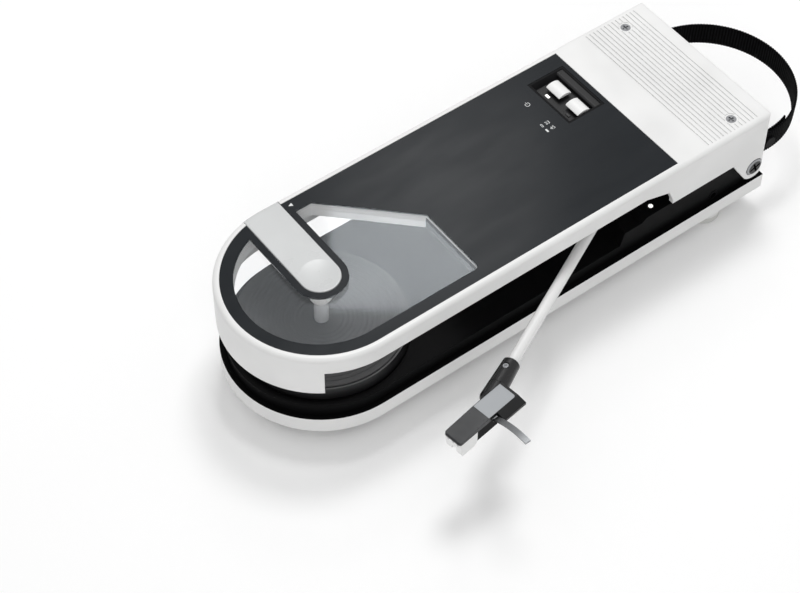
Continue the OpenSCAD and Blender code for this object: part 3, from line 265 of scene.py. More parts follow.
def add_piece(name, surface, body, material, replaces=(), uv=None, crease=None):
    """Make a mesh object from points in millimetres, faces and normals, and hang it on a body. Without
    normals it is smooth up to a crease, an angle in degrees, or flat."""
    points, faces, normals = surface
    mesh = bpy.data.meshes.new(name)
    mesh.from_pydata((np.asarray(points) * MM).tolist(), [], faces)
    mesh.update()
    if normals is not None:
        mesh.shade_smooth()
        mesh.normals_split_custom_set_from_vertices(np.asarray(normals).tolist())
    elif crease:
        mesh.shade_smooth()
        mesh.set_sharp_from_angle(angle=math.radians(crease))
    if uv is not None:
        corner = np.empty(len(mesh.loops), int)
        mesh.loops.foreach_get("vertex_index", corner)
        mesh.uv_layers.new(name="UVMap").data.foreach_set("uv", np.asarray(uv)[corner].ravel())
    piece = bpy.data.objects.new(name, mesh)
    bpy.context.collection.objects.link(piece)
    mesh.materials.append(material)
    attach(piece, body)
    if replaces:
        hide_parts(*replaces)
    return piece


# Materials


def add_node(tree, kind, inputs=None, **settings):
    """Add a shader node; each input is a constant or the output that feeds it."""
    made = tree.nodes.new("ShaderNode" + kind)
    for key, value in settings.items():
        setattr(made, key, value)
    for key, value in (inputs or {}).items():
        if isinstance(value, bpy.types.NodeSocket):
            tree.links.new(value, made.inputs[key])
        else:
            made.inputs[key].default_value = value
    return made


def math_of(tree, operation, *values):
    """Result of a Math node."""
    return add_node(tree, "Math", dict(enumerate(values)), operation=operation).outputs[0]


def vector_math(tree, operation, *values):
    """Outputs of a Vector Math node."""
    return add_node(tree, "VectorMath", dict(enumerate(values)), operation=operation).outputs


def axis_of(tree, vector, axis):
    """One coordinate of a vector."""
    return add_node(tree, "SeparateXYZ", {"Vector": vector}).outputs[axis]


def new_material(name, **sockets):
    """A material with its shader, and Object coordinates for its textures. Keywords are the shader's
    constants."""
    material = bpy.data.materials.new(name)
    material.use_nodes = True
    tree = material.node_tree
    shader = tree.nodes["Principled BSDF"]
    for key, value in sockets.items():
        shader.inputs[key.replace("_", " ")].default_value = value
    where = add_node(tree, "TexCoord").outputs["Object"]
    return material, tree, shader, where


def noise(tree, where, size_mm, detail=2.0, stretch=None):
    """Cloudy noise whose lumps are about size_mm across, pulled out along an axis by stretch."""
    if stretch:
        where = add_node(tree, "Mapping", {"Vector": where, "Scale": stretch}).outputs["Vector"]
    cloud = add_node(tree, "TexNoise", {"Vector": where, "Scale": 1 / (size_mm * MM), "Detail": detail})
    return cloud.outputs["Fac"]


def ramp(tree, factor, low, high, start=0.3, end=0.7):
    """A colour that goes from low to high with a factor."""
    made = add_node(tree, "ValToRGB", {"Fac": factor})
    for stop, place, value in zip(made.color_ramp.elements, (start, end), (low, high)):
        stop.position = place
        stop.color = (*value, 1)
    return made.outputs["Color"]


def spread(tree, factor, low, high):
    """A number that goes from low to high while a factor goes from 0.3 to 0.7."""
    return add_node(tree, "MapRange", {"Value": factor, "From Min": 0.3, "From Max": 0.7, "To Min": low,
                                       "To Max": high}).outputs["Result"]


def shade(tone, rgb):
    """A colour made lighter or darker by a share."""
    return tuple(min(1.0, max(0.0, channel * (1 + tone))) for channel in rgb)


def edge_bump(tree, shader, height, depth, soft, strength):
    """Bump a surface by a height, and shade its sharp edges as round ones of radius soft."""
    edge = add_node(tree, "Bevel", {"Radius": soft * MM}, samples=4).outputs["Normal"]
    bump = add_node(tree, "Bump", {"Height": height, "Distance": depth * MM, "Strength": strength,
                                   "Normal": edge})
    tree.links.new(bump.outputs["Normal"], shader.inputs["Normal"])


def drift(tree, shader, where, rgb, tone, size_mm):
    """Colour a surface with a tone that drifts over a distance."""
    tint = ramp(tree, noise(tree, where, size_mm), shade(-tone, rgb), shade(tone, rgb))
    tree.links.new(tint, shader.inputs["Base Color"])


def moulded(name, rgb, rough, grain=0.35, depth=0.006, tone=0.04, soft=0.25, **sockets):
    """Moulded plastic: a tone that drifts over centimetres, a fine grain, and edges that catch light."""
    material, tree, shader, where = new_material(name, **sockets)
    drift(tree, shader, where, rgb, tone, size_mm=28)
    uneven = 0.04
    gloss = spread(tree, noise(tree, where, size_mm=7), rough - uneven, rough + uneven)
    tree.links.new(gloss, shader.inputs["Roughness"])
    edge_bump(tree, shader, noise(tree, where, grain, detail=1), depth, soft, strength=0.6)
    return material


def metal(name, rgb, rough, stretch=(1, 1, 1), soft=0.1, shine=1.0):
    """Plated or brushed metal: fine streaks in its roughness and height, and a tone that drifts."""
    material, tree, shader, where = new_material(name, Metallic=shine)
    streak = noise(tree, where, size_mm=0.3, detail=3, stretch=stretch)
    drift(tree, shader, where, rgb, tone=0.08, size_mm=6)
    tree.links.new(spread(tree, streak, rough * 0.7, rough * 1.3), shader.inputs["Roughness"])
    edge_bump(tree, shader, streak, depth=0.003, soft=soft, strength=0.5)
    return material


def gloss_sheet(name, rgb, rough, **sockets):
    """A polished sheet: nearly even, with faint wipe marks in its gloss."""
    material, tree, shader, where = new_material(name, **sockets)
    wipe = noise(tree, where, size_mm=9, detail=3, stretch=(1, 0.25, 1))
    drift(tree, shader, where, rgb, tone=0.06, size_mm=40)
    tree.links.new(spread(tree, wipe, rough * 0.8, rough * 1.2), shader.inputs["Roughness"])
    return material


def glow(name, rgb, strength):
    """A lit lens: brighter in the middle of its cells, over pale plastic."""
    material, tree, shader, where = new_material(name, Roughness=0.3, Emission_Strength=strength)
    speck = ramp(tree, noise(tree, where, size_mm=0.8), shade(-0.1, rgb), rgb)
    for socket in ("Base Color", "Emission Color"):
        tree.links.new(speck, shader.inputs[socket])
    return material


def recolour(material, mask, rgb):
    """Give a material another colour where a mask is 1."""
    tree = material.node_tree
    base = tree.nodes["Principled BSDF"].inputs["Base Color"]
    mixed = add_node(tree, "MixRGB", {"Fac": mask, "Color1": base.links[0].from_socket, "Color2": (*rgb, 1)})
    tree.links.new(mixed.outputs["Color"], base)


def dim(material, mask, bright, dull):
    """Give a material a bright shine where a mask is 0 and a dull one where it is 1."""
    tree = material.node_tree
    shader = tree.nodes["Principled BSDF"]
    tree.links.new(spread(tree, mask, bright, dull), shader.inputs["Specular IOR Level"])


def above(tree, level):
    """A mask that is 1 above a level of the frame, in millimetres."""
    height = axis_of(tree, add_node(tree, "TexCoord").outputs["Object"], "Z")
    return math_of(tree, "GREATER_THAN", height, level * MM)


def lined_cover(name, rgb, dark, rear, rough):
    """White plastic whose wall behind the window's opening, which faces the front, has a dark lining."""
    material = moulded(name, rgb, rough)
    tree = material.node_tree
    place = axis_of(tree, add_node(tree, "TexCoord").outputs["Object"], "Y")
    facing = axis_of(tree, add_node(tree, "NewGeometry").outputs["True Normal"], "Y")
    reach, steepest = 0.3, -0.5
    near = math_of(tree, "COMPARE", place, rear * MM, reach * MM)
    front = math_of(tree, "LESS_THAN", facing, steepest)
    recolour(material, math_of(tree, "MULTIPLY", near, front), dark)
    return material


def walls_with_painted_shade(name, rgb, rough, soft, rim_level):
    """Dark plastic whose rim above a level, and walls that face the rear and the right, don't shine; on those
    walls the lost shine is painted shade.
    """
    material = moulded(name, rgb, rough, depth=0.004, tone=0.1, soft=soft)
    tree = material.node_tree
    normal = add_node(tree, "TexCoord").outputs["Normal"]
    # Walls that face the rear and the right lose their shine: painted shade
    rear_right, least = (0.7, 0.7, 0), 0.15
    facing = vector_math(tree, "DOT_PRODUCT", normal, rear_right)["Value"]
    wall = math_of(tree, "GREATER_THAN", facing, least)
    dim(material, math_of(tree, "MAXIMUM", wall, above(tree, rim_level)), bright=0.3, dull=0.05)
    return material


def black_rim(name, rgb, dark, rough, soft, rim_level):
    """White plastic whose rim above a level is black and dull."""
    material = moulded(name, rgb, rough, soft=soft)
    rim = above(material.node_tree, rim_level)
    recolour(material, rim, dark)
    dim(material, rim, bright=0.5, dull=0.03)
    return material


def metal_with_painted_ring_highlight(name, rgb, bright, rough, middle, start):
    """Metal with a painted highlight, a bright ring beyond a radius from an axis along X, and a painted dark
    reflection inside it.
    """
    material = metal(name, rgb, rough)
    tree = material.node_tree
    where = add_node(tree, "TexCoord").outputs["Object"]
    flat = vector_math(tree, "MULTIPLY", where, (0, 1, 1))["Vector"]
    away = vector_math(tree, "DISTANCE", flat, (0, middle[1] * MM, middle[2] * MM))["Value"]
    recolour(material, math_of(tree, "GREATER_THAN", away, start * MM), bright)
    return material


def half_dark(name, rgb, dark, rough, soft):
    """Grey plastic that is darker behind the front edge of the headshell's plate, along the head's axis."""
    material = moulded(name, rgb, rough, depth=0.002, tone=0.06, soft=soft, Specular_IOR_Level=0.15)
    tree = material.node_tree
    corners = vertices(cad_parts["head_plate"].data)[:, :2]
    front, side = corners[corners[:, 1].argmin()], corners[corners[:, 0].argmin()]
    axis = np.array([*(side - front), 0]) / np.linalg.norm(side - front)
    # A side that runs across the head is turned, so that the axis points to the rear
    if abs(axis[1]) < abs(axis[0]):
        axis = np.array([axis[1], -axis[0], 0]) * -np.sign(axis[0])
    where = add_node(tree, "TexCoord").outputs["Object"]
    along = vector_math(tree, "DOT_PRODUCT", where, axis)["Value"]
    recolour(material, math_of(tree, "GREATER_THAN", along, float(front @ axis[:2])), dark)
    return material


def webbing(name, rgb, rib, thread):
    """Black webbing on its own UV in millimetres: painted shade in the grooves of its ribs and painted light
    on their crests, with fine threads.
    """
    material, tree, shader, _ = new_material(name, Specular_IOR_Level=0.02)
    place = add_node(tree, "UVMap", uv_map="UVMap").outputs["UV"]
    wave = {}
    for axis, pitch in (("X", rib), ("Y", thread)):
        turn = math_of(tree, "MULTIPLY", axis_of(tree, place, axis), 2 * math.pi / pitch)
        wave[axis] = math_of(tree, "COSINE", turn)
    fuzz = add_node(tree, "TexNoise", {"Vector": place, "Scale": 2.2, "Detail": 4.0}).outputs["Fac"]
    # Painted shade in the ribs' grooves and painted light on their crests, from the ribs' wave
    tone = add_node(tree, "MapRange", {"Value": wave["X"], "From Min": -1.0, "From Max": 1.0})
    tint = ramp(tree, tone.outputs["Result"], shade(-0.75, rgb), shade(0.5, rgb), start=0.1, end=0.8)
    tree.links.new(tint, shader.inputs["Base Color"])
    tree.links.new(spread(tree, fuzz, 0.55, 0.8), shader.inputs["Roughness"])
    thread_height = 0.5
    cloth = math_of(tree, "MULTIPLY_ADD", wave["Y"], thread_height, fuzz)
    bump = add_node(tree, "Bump", {"Height": cloth, "Distance": 0.08 * MM, "Strength": 0.7})
    tree.links.new(bump.outputs["Normal"], shader.inputs["Normal"])
    return material


def finishes(colours, sizes):
    """Every finish by its short name."""
    soft = sizes.edge_soft
    deep_black = shade(-0.4, colours.black)
    window_rear = box_mm("window")[1][1]
    # Levels just under the upper rims
    well_rim = box_mm("button_well")[1][2] - 0.1
    shell_rim = box_mm("bottom_shell")[1][2] - 0.15
    hinge_low, hinge_high = box_mm("hinge_screws")
    # Painted highlight: the hinge screws are bright beyond this share of their radius
    highlight_from = 0.8
    highlight_ring = highlight_from * (hinge_high[1] - hinge_low[1]) / 2
    return {
        "white": moulded("white_shell", colours.white, rough=0.36, soft=soft),
        "shell": black_rim("white_base", colours.white, deep_black, rough=0.36, soft=soft,
                           rim_level=shell_rim),
        # The inner cover's white is lighter than the lid's: painted light on walls in shade inside the lid
        "cover": lined_cover("white_cover", shade(0.15, colours.white), colours.lining, window_rear,
                             rough=0.4),
        "bar": moulded("bar_white", colours.bar, rough=0.3, soft=soft),
        "button": moulded("button_white", shade(0.06, colours.white), rough=0.28, soft=soft),
        "tube": moulded("arm_white", colours.white, rough=0.22, grain=0.2, depth=0.002),
        "black": moulded("black_body", deep_black, rough=0.42, grain=0.3, depth=0.012, tone=0.1, soft=soft,
                         Specular_IOR_Level=0.03),
        "collar": moulded("collar_black", colours.black, rough=0.24, depth=0.001, tone=0.1, soft=soft,
                          Specular_IOR_Level=0.35),
        # Button well: painted shade on its walls that face the rear and the right
        "well": walls_with_painted_shade("well_black", shade(0.5, colours.black), rough=0.3, soft=soft,
                           rim_level=well_rim),
        "arm": moulded("arm_dark", shade(0.5, colours.black), rough=0.4, tone=0.1, soft=soft),
        "head": half_dark("head_grey", colours.head, shade(-0.75, colours.head), rough=0.3, soft=soft),
        "stylus": moulded("stylus_white", shade(0.06, colours.white), rough=0.32, soft=soft),
        # The clamp's white is lighter than the lid's: painted light on a part in the lid's shade
        "clamp": moulded("clamp_white", shade(0.18, colours.white), rough=0.3, soft=soft),
        "foot": moulded("foot_rubber", colours.foot, rough=0.65, grain=0.25, depth=0.02),
        "rubber": moulded("mat_rubber", colours.rubber, rough=0.62, grain=0.25, depth=0.02, tone=0.12),
        "rivet": moulded("rivet_black", colours.black, rough=0.4, tone=0.1, Specular_IOR_Level=0.04),
        "wrap": moulded("battery_wrap", colours.wrap, rough=0.35, tone=0.08),
        "board": moulded("board_green", colours.board, rough=0.4, grain=0.8, depth=0.03, tone=0.25),
        "panel": gloss_sheet("panel_gloss", colours.panel, rough=0.18, Specular_IOR_Level=0.19),
        "window": gloss_sheet("window_clear", colours.window, rough=0.05, Metallic=1.0, Alpha=0.05),
        "steel": metal("screw_steel", colours.steel, rough=0.22),
        # Hinge screws: a painted highlight ring in steel over a painted dark reflection
        "steel_painted_highlight": metal_with_painted_ring_highlight("hinge_steel", shade(-0.92, colours.steel), colours.steel, rough=0.14,
                             middle=(hinge_low + hinge_high) / 2, start=highlight_ring),
        # The spindle is only partly metallic, so its pale colour shows diffuse: a painted reflection of
        # brighter surroundings
        "chrome": metal("spindle_chrome", colours.chrome, rough=0.18, shine=0.3),
        "brass": metal("bearing_brass", colours.brass, rough=0.28),
        "plate": moulded("plate_grey", colours.plate, rough=0.34, grain=0.15, depth=0.003, tone=0.05,
                         soft=soft),
        "lift": metal("lift_grey", colours.lift, rough=0.34, stretch=(8, 1, 1)),
        "lit": glow("lamp_white", colours.lamp, strength=0.9),
        "unlit": moulded("lamp_dark", colours.unlit, rough=0.2, tone=0.2),
        "ink": moulded("print_white", colours.ink, rough=0.6, grain=0.1, depth=0.004),
        "webbing": webbing("strap_webbing", colours.webbing, sizes.strap_rib, sizes.strap_thread),
    }


FINISH_OF = {
    "white": ["lid_shell"],
    "shell": ["bottom_shell"],
    "stylus": ["stylus_holder"],
    "clamp": ["record_clamp"],
    "cover": ["lid_inner_cover"],
    "tube": ["arm_tube"],
    "black": ["chassis", "line_out_socket", "cartridge"],
    "collar": ["head_collar"],
    "well": ["button_well"],
    "arm": ["arm_turret", "arm_hub", "clamp_bush", "platter"],
    "head": ["headshell"],
    "plate": ["head_plate"],
    "foot": ["feet"],
    "rubber": ["drive_belt"],
    "rivet": ["strap_rivets"],
    "wrap": ["battery_pack"],
    "board": ["main_board", "button_board"],
    "panel": ["top_panel"],
    "window": ["window"],
    "steel": ["bottom_screws", "motor", "arm_post", "hinge_washers", "lift_pin", "collar_screw", "cantilever",
              "top_screws", "lid_screws", "charge_socket"],
    "steel_painted_highlight": ["hinge_screws"],
    "chrome": ["spindle"],
    "brass": ["platter_bearing", "motor_pulley"],
    "lift": ["finger_lift"],
    "lit": ["power_lamp", "status_lamp"],
    "unlit": ["speed_lamp"],
}
FINISHES = {}


# Operators


class TURNTABLE_OT_finishes(bpy.types.Operator):
    """Make the materials, and give each CAD node its own"""
    bl_idname = "turntable.finishes"
    bl_label = "Finishes"

    def execute(self, context):
        scene = context.scene
        FINISHES.update(finishes(scene.turntable_colours, scene.turntable_sizes))
        for finish, names in FINISH_OF.items():
            for name in names:
                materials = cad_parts[name].data.materials
                materials.clear()
                materials.append(FINISHES[finish])
        return {"FINISHED"}


class TURNTABLE_OT_strap(bpy.types.Operator):
    """Make the strap's ribbed webbing, a half loop with both ends folded in"""
    bl_idname = "turntable.strap"
    bl_label = "Strap"

    def path(self, outer_r, sizes):
        """Middle line of the webbing in plan: out along one fold, round a tight turn, along the half loop and
        back in the same way. Gives evenly spaced points and the distance to each."""
        half = sizes.strap_thick / 2
        loop_r = outer_r - half
        fold_r = loop_r - sizes.strap_thick - sizes.strap_gap
        turn_r = (loop_r - fold_r) / 2
        turn_y = half + turn_r - sizes.strap_end
        fold = (sizes.strap_fold - sizes.strap_end) / (fold_r + half)
        a = np.linspace(fold, 0, 60)
        inner = np.stack([fold_r * np.cos(a), fold_r * np.sin(a)], 1)
        a = np.linspace(math.pi, 2 * math.pi, 40)
        turn = np.stack([fold_r + turn_r + turn_r * np.cos(a), turn_y + turn_r * np.sin(a)], 1)
        a = np.linspace(0, math.pi / 2, 200)
        loop = np.stack([loop_r * np.cos(a), loop_r * np.sin(a)], 1)
        side = np.concatenate([inner, turn, loop])
        line = np.concatenate([side, (side * [-1, 1])[-2::-1]])
        run = line_run(line)
        steps_to_rib = 8
        even = np.linspace(0, run[-1], steps_to_rib * round(run[-1] / sizes.strap_rib) + 1)
        return np.stack([np.interp(even, run, line[:, k]) for k in (0, 1)], 1), even

    def execute(self, context):
        """The surface is a flat rounded section carried along the path; its half thickness and half width are
        means plus a cosine of the distance along the path, one wave to a rib. The whole turns about the
        rivets to droop."""
        sizes = context.scene.turntable_sizes
        line, run = self.path(box_mm("strap")[1][0], sizes)
        ahead = np.gradient(line, axis=0)
        ahead /= np.linalg.norm(ahead, axis=1, keepdims=True)
        out = np.stack([ahead[:, 1], -ahead[:, 0]], 1)
        a = np.linspace(0, 2 * np.pi, 28, endpoint=False)
        square_face, square_side = 0.35, 0.5
        face = np.sign(np.cos(a)) * np.abs(np.cos(a)) ** square_face
        rise = np.sign(np.sin(a)) * np.abs(np.sin(a)) ** square_side
        valley = (1 - np.cos(2 * np.pi * run / sizes.strap_rib)) / 2
        half = sizes.strap_thick / 2 - sizes.rib_height / 2 * valley
        thin_end = 0.6
        half[[0, -1]] *= thin_end
        tall = sizes.strap_width / 2 - sizes.rib_notch * valley
        across = half[:, None] * face
        up = tall[:, None] * rise
        points = np.dstack([line[:, None] + across[..., None] * out[:, None], up])[:, ::-1]
        uv = np.dstack([np.broadcast_to(run[:, None], up.shape), up])[:, ::-1]
        tilt = np.array(Matrix.Rotation(-sizes.strap_droop, 3, "X"))
        pivot = sum(box_mm("strap_rivets")) / 2
        points = points @ tilt.T + pivot
        surface = closed_rings(points, grid_normals(points))
        uv = np.concatenate([uv.reshape(-1, 2), uv[[0, -1]].mean(1)])
        add_piece("strap_webbing", surface, "strap_loop", FINISHES["webbing"], ["strap"], uv)
        return {"FINISHED"}


class TURNTABLE_OT_mat(bpy.types.Operator):
    """Make the platter's mat, a disc with round ridges"""
    bl_idname = "turntable.mat"
    bl_label = "Platter mat"

    def execute(self, context):
        """A profile turned about the spindle: flat below, and above a plain inner and outer land with ridges
        between them whose height is a cosine of the radius."""
        sizes = context.scene.turntable_sizes
        low, high = box_mm("platter_mat")
        inner, outer = box_mm("spindle")[1][0] + sizes.mat_fit, high[0]
        land_in, land_out = inner + sizes.mat_inner, outer - sizes.mat_outer
        steps_to_ridge = 14
        r = np.linspace(land_out, land_in, steps_to_ridge * sizes.mat_rings)
        wave = np.cos((r - land_in) / (land_out - land_in) * 2 * np.pi * sizes.mat_rings)
        ridged = high[2] - sizes.mat_groove / 2 * (1 - wave)
        a = np.radians(np.linspace(0, 90, 5))
        edge = sizes.mat_edge
        rim = np.stack([outer - edge + edge * np.cos(a), high[2] - edge + edge * np.sin(a)], 1)
        profile = np.concatenate([[[inner, low[2]], [outer, low[2]]], rim, np.stack([r, ridged], 1),
                                  [[inner, high[2]]]])
        turn = np.linspace(0, 2 * np.pi, 144, endpoint=False)
        points = np.stack([profile[:, :1] * np.cos(turn), profile[:, :1] * np.sin(turn),
                           np.broadcast_to(profile[:, 1:], (len(profile), len(turn)))], -1)
        faces = grid_faces(len(profile), len(turn), wrap_rows=True, wrap_cols=True)
        add_piece("mat_ridged", (points.reshape(-1, 3), faces, None), "platter",
                  FINISHES["rubber"], ["platter_mat"], crease=40)
        return {"FINISHED"}


class TURNTABLE_OT_bar(bpy.types.Operator):
    """Make the opening bar, with soft edges and a finger dimple"""
    bl_idname = "turntable.bar"
    bl_label = "Opening bar"

    def outline(self, half, lid_half):
        """A tongue with a round end about the spindle axis, counter-clockwise; its other end lies on the
        lid's outline, which is straight to the rear of that axis and round to the front of it."""
        a = np.linspace(-np.pi / 2, np.pi / 2, 73)
        closer_to_axis = 1.4
        x = lid_half * np.linspace(0, 1, 60)[1:] ** closer_to_axis
        y = np.linspace(half, -half, 41)
        left = -np.sqrt(lid_half ** 2 - np.minimum(y, 0) ** 2)
        return np.concatenate([np.stack([half * np.cos(a), half * np.sin(a)], 1),
                               np.stack([left[0] / lid_half * x, np.full(len(x), half)], 1),
                               np.stack([left, y], 1)[1:-1],
                               np.stack([left[-1] / lid_half * x, np.full(len(x), -half)], 1)[::-1]])

    def height(self, x, y, half, lid_half, top, sizes):
        """The top, less a quarter round by the distance to the tongue's edge and to the lid's outline, and
        less a ball's cap about the spindle axis."""
        def drop(distance, radius):
            near = np.clip(radius - distance, 0, radius)
            return radius - np.sqrt(radius ** 2 - near ** 2)

        edge = half - np.where(x > 0, np.hypot(x, y), np.abs(y))
        lid = lid_half - np.where(y < 0, np.hypot(x, y), np.abs(x))
        ball = (sizes.dimple_r ** 2 + sizes.dimple ** 2) / (2 * sizes.dimple)
        bowl = np.sqrt(ball ** 2 - np.minimum(np.hypot(x, y), sizes.dimple_r) ** 2) - (ball - sizes.dimple)
        return top - np.maximum(drop(edge, sizes.bar_edge), drop(lid, sizes.lid_edge)) - bowl

    def execute(self, context):
        """Rays from the spindle axis to the outline: steps that grow from the edge over the flat, and even
        ones in the dimple, whose rim is a sharp ring."""
        sizes = context.scene.turntable_sizes
        low, high = box_mm("open_bar")
        half, lid_half, top = high[0], -low[0], high[2]
        outer = self.outline(half, lid_half)
        rim = sizes.dimple_r * outer / np.linalg.norm(outer, axis=1, keepdims=True)
        share = np.linspace(0, 1, 61)[:, None, None] ** 2
        innermost = 0.04
        dish = np.linspace(1, innermost, 20)[1:, None, None]
        plan = np.concatenate([outer + share * (rim - outer), dish * rim])
        upper = np.dstack([plan, self.height(plan[..., 0], plan[..., 1], half, lid_half, top, sizes)])
        base = np.full((len(outer), 1), box_mm("top_panel")[0][2] + sizes.bar_fit)
        surface = closed_rings(np.concatenate([np.hstack([outer, base])[None], upper]))
        mesh = add_piece("opening_bar", surface, "bar", FINISHES["bar"], ["open_bar"],
                         crease=60).data
        first = len(share) * len(outer)
        ends = np.empty(2 * len(mesh.edges), int)
        mesh.edges.foreach_get("vertices", ends)
        on_rim = ((ends >= first) & (ends < first + len(outer))).reshape(-1, 2).all(1)
        sharp = np.empty(len(mesh.edges), bool)
        edges = mesh.attributes["sharp_edge"].data
        edges.foreach_get("value", sharp)
        edges.foreach_set("value", sharp | on_rim)
        return {"FINISHED"}


class TURNTABLE_OT_buttons(bpy.types.Operator):
    """Make the two push buttons, with crowned faces and soft edges"""
    bl_idname = "turntable.buttons"
    bl_label = "Push buttons"

    def execute(self, context):
        """A rounded block whose height is the top less the sag of a cylinder along X; the face's rings shrink
        to the middle."""
        sizes = context.scene.turntable_sizes
        crown = sizes.button_crown
        innermost = 0.96
        share = np.linspace(0, innermost, 14)[1:, None, None]
        for name, body in (("power_button", "power_key"), ("speed_button", "speed_key")):
            low, high = box_mm(name)
            half = (high[1] - low[1]) / 2
            low_z = high[2] - crown + math.sqrt(crown ** 2 - half ** 2) - sizes.button_rim
            corners = [low[:2], [high[0], low[1]], high[:2], [low[0], high[1]]]
            outline, outward = dense(*rounded_polygon(corners, sizes.button_corner), step=0.25)
            rings = round_edges(low_z, high[2], sizes.button_foot, sizes.button_edge)
            block = slab(outline, outward, *rings)
            centre = (low[:2] + high[:2]) / 2
            last = block[-1, :, :2]
            face = np.dstack([last + share * (centre - last), np.full((len(share), len(last)), high[2])])
            points = np.concatenate([block, face])
            lift = np.clip((points[..., 2] - low_z) / (high[2] - low_z), 0, 1)
            sag = crown - np.sqrt(crown ** 2 - (points[..., 1] - centre[1]) ** 2)
            points[..., 2] -= sag * lift
            add_piece(name + "_cap", closed_rings(points), body, FINISHES["button"], [name],
                      crease=50)
        return {"FINISHED"}


class TURNTABLE_OT_marks(bpy.types.Operator):
    """Print plain marks on the panel: an arrow, a ring and stroke, speed numbers and their two bars"""
    bl_idname = "turntable.marks"
    bl_label = "Panel marks"

    # Places on the panel, in millimetres
    arrow_at = (-43.6, 13.9)
    power_at = (-27.6, 146)
    numbers_at = {"33": (-12.3, 146.1), "45": (-8.2, 146.1)}
    low_bar_at, high_bar_at = (-12.2, 142.7), (-8.2, 142.7)

    def lay(self, name, surface, place):
        """Lay a flat drawing on the panel: its x runs to the rear and its y to the left."""
        points, faces = surface
        level = box_mm("top_panel")[1][2] + bpy.context.scene.turntable_sizes.ink
        flat = np.stack([place[0] - points[:, 1], place[1] + points[:, 0], np.full(len(points), level)], 1)
        add_piece(name, (flat, faces, None), "lid", FINISHES["ink"])

    def filled(self, corners, radius=0.08):
        """A filled polygon with soft corners."""
        points, _ = rounded_polygon(corners, radius, steps=5)
        return points, [list(range(len(points)))]

    def band(self, outer, inner, closed=True):
        """The strip between two lines of as many points, which run counter-clockwise."""
        return np.concatenate([outer, inner]), grid_faces(2, len(outer), wrap_cols=closed)

    def number(self, digits, tall):
        """Digits as a flat mesh, their middle at the origin."""
        curve = bpy.data.curves.new(digits, "FONT")
        curve.body = digits
        writer = bpy.data.objects.new(digits, curve)
        bpy.context.collection.objects.link(writer)
        drawn = writer.evaluated_get(bpy.context.evaluated_depsgraph_get())
        mesh = bpy.data.meshes.new_from_object(drawn)
        points = vertices(mesh)[:, :2]
        least_area = 1e-7
        faces = [list(f.vertices) for f in mesh.polygons if f.area > least_area]
        bpy.data.objects.remove(writer)
        bpy.data.meshes.remove(mesh)
        low, high = points.min(0), points.max(0)
        return (points - (high + low) / 2) * tall / (high - low)[1], faces

    def execute(self, context):
        """Outlines are in millimetres about each mark's place."""
        self.lay("mark_arrow", self.filled([(-1.25, 0), (1.0, -1.1), (1.0, 1.1)]), self.arrow_at)
        ring_start, ring_end, ring_outer, ring_inner = 120, 420, 1.35, 1.05
        a = np.radians(np.linspace(ring_start, ring_end, 40))
        arc = np.stack([np.cos(a), np.sin(a)], 1)
        self.lay("mark_ring", self.band(ring_outer * arc, ring_inner * arc, closed=False), self.power_at)
        stroke = [(-0.16, 0.1), (0.16, 0.1), (0.16, 1.6), (-0.16, 1.6)]
        self.lay("mark_stroke", self.filled(stroke), self.power_at)
        for digits, place in self.numbers_at.items():
            self.lay("mark_" + digits, self.number(digits, tall=2.0), place)
        bar = [(-0.5, -1.1), (0.5, -1.1), (0.5, 1.1), (-0.5, 1.1)]
        bar_corner, bar_line = 0.15, 0.28
        outer, outward = rounded_polygon(bar, bar_corner)
        self.lay("mark_low_bar", self.band(outer, outer - bar_line * outward), self.low_bar_at)
        self.lay("mark_high_bar", self.filled(bar, bar_corner), self.high_bar_at)
        return {"FINISHED"}


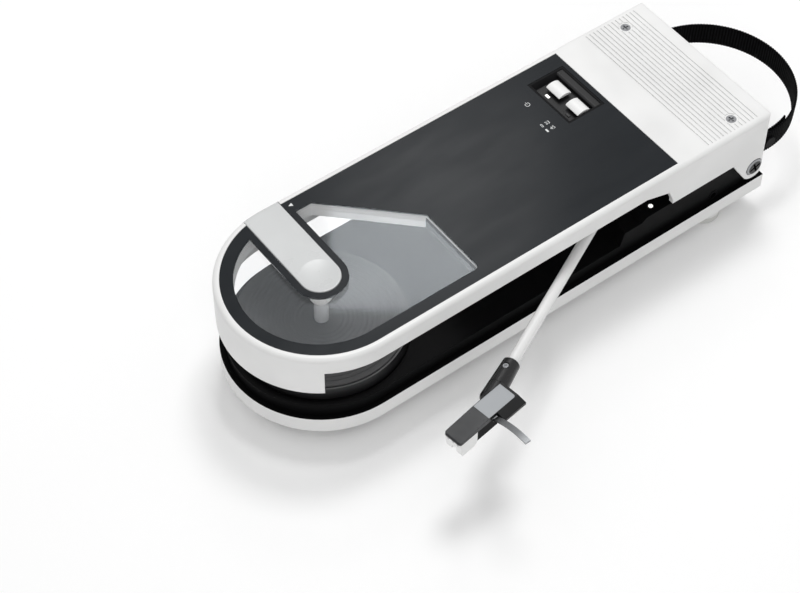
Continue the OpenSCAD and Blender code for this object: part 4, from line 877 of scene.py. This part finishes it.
class TURNTABLE_OT_stage(bpy.types.Operator):
    """Set the pale floor, the soft light and the camera"""
    bl_idname = "turntable.stage"
    bl_label = "Stage"

    # Place and width of each light in metres; its power is the stage value of the same name
    lights = {
        "key": ((-0.3, 0.4, 1.35), 0.45),
        "fill": ((1.2, -0.8, 0.7), 1.0),
        "card": ((-0.8, 0.7, 1.2), 0.25),
    }

    def set_floor(self, stage):
        """A pale square at the level of the feet."""
        low, half = CAD_BOX[0][2], stage.floor_side / 2
        mesh = bpy.data.meshes.new("floor")
        corners = [(-half, -half, low), (half, -half, low), (half, half, low), (-half, half, low)]
        mesh.from_pydata(corners, [], [range(4)])
        floor = bpy.data.objects.new("floor", mesh)
        bpy.context.collection.objects.link(floor)
        material, tree, shader, where = new_material("floor_pale", Roughness=0.8)
        cloud = ramp(tree, noise(tree, where, size_mm=150), shade(-0.01, stage.floor), stage.floor)
        tree.links.new(cloud, shader.inputs["Base Color"])
        mesh.materials.append(material)

    def set_world(self, scene, stage):
        """A white surround that lights the object from above more than from the sides."""
        world = bpy.data.worlds.new("studio")
        scene.world = world
        world.use_nodes = True
        tree = world.node_tree
        height = axis_of(tree, add_node(tree, "TexCoord").outputs["Generated"], "Z")
        dome = add_node(tree, "MapRange", {"Value": height, "To Min": stage.horizon, "To Max": stage.sky})
        path = add_node(tree, "LightPath").outputs
        seen = path["Is Camera Ray"]
        for kind in ("Is Glossy Ray", "Is Transmission Ray"):
            seen = math_of(tree, "MAXIMUM", seen, path[kind])
        level = add_node(tree, "MapRange", {"Value": seen, "To Min": dome.outputs["Result"], "To Max": 1.0})
        background = tree.nodes["Background"]
        tree.links.new(level.outputs["Result"], background.inputs["Strength"])
        background.inputs["Color"].default_value = (1, 1, 1, 1)

    def add_light(self, name, place, width, power, target):
        """A square soft light that looks at the object."""
        lamp = bpy.data.lights.new(name, "AREA")
        lamp.energy = power
        lamp.size = width
        made = bpy.data.objects.new(name, lamp)
        bpy.context.collection.objects.link(made)
        made.location = place
        made.rotation_euler = (Vector(target) - Vector(place)).to_track_quat("-Z", "Y").to_euler()

    def set_camera(self, scene, stage):
        """A camera at a distance from its target, in a direction given by two angles, and rolled."""
        az, el = stage.azimuth, stage.elevation
        back = Vector((math.sin(az) * math.cos(el), -math.cos(az) * math.cos(el), math.sin(el)))
        level = Vector((math.cos(az), math.sin(az), 0))
        upright = back.cross(level)
        right = level * math.cos(stage.roll) + upright * math.sin(stage.roll)
        up = upright * math.cos(stage.roll) - level * math.sin(stage.roll)
        lens = bpy.data.cameras.new("camera")
        lens.lens = stage.lens
        lens.sensor_width = stage.sensor
        lens.shift_x, lens.shift_y = stage.shift
        camera = bpy.data.objects.new("camera", lens)
        bpy.context.collection.objects.link(camera)
        place = Vector(stage.target) + back * stage.distance
        camera.matrix_world = Matrix.Translation(place) @ Matrix((right, up, back)).transposed().to_4x4()
        scene.camera = camera

    def execute(self, context):
        scene = context.scene
        stage = scene.turntable_stage
        scene.view_settings.view_transform = "Standard"
        self.set_floor(stage)
        self.set_world(scene, stage)
        for name, (place, width) in self.lights.items():
            self.add_light(name, place, width, getattr(stage, name), stage.target)
        self.set_camera(scene, stage)
        return {"FINISHED"}


class TURNTABLE_PT_panel(bpy.types.Panel):
    """The add-on's panel, with its values and one button for each piece"""
    bl_idname = "TURNTABLE_PT_panel"
    bl_label = "Portable turntable"
    bl_space_type = "VIEW_3D"
    bl_region_type = "UI"
    bl_category = "Turntable"

    def draw(self, context):
        layout = self.layout
        for group in GROUPS:
            values = getattr(context.scene, group)
            box = layout.box()
            for name in values.__annotations__:
                box.prop(values, name)
        for operator in OPERATORS:
            layout.operator(operator.bl_idname)


GROUPS = {
    "turntable_sizes": TurntableSizes,
    "turntable_colours": TurntableColours,
    "turntable_stage": TurntableStage,
}
OPERATORS = (TURNTABLE_OT_stage, TURNTABLE_OT_finishes, TURNTABLE_OT_strap, TURNTABLE_OT_mat,
             TURNTABLE_OT_bar, TURNTABLE_OT_buttons, TURNTABLE_OT_marks)


def register():
    for group in (*GROUPS.values(), *OPERATORS, TURNTABLE_PT_panel):
        bpy.utils.register_class(group)
    for name, group in GROUPS.items():
        setattr(bpy.types.Scene, name, PointerProperty(type=group))


def unregister():
    for name in GROUPS:
        delattr(bpy.types.Scene, name)
    for group in (TURNTABLE_PT_panel, *OPERATORS[::-1], *list(GROUPS.values())[::-1]):
        bpy.utils.unregister_class(group)


def main():
    """Register the add-on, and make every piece."""
    register()
    bpy.ops.turntable.stage()
    bpy.ops.turntable.finishes()
    bpy.ops.turntable.strap()
    bpy.ops.turntable.mat()
    bpy.ops.turntable.bar()
    bpy.ops.turntable.buttons()
    bpy.ops.turntable.marks()


if __name__ == "__main__":
    main()
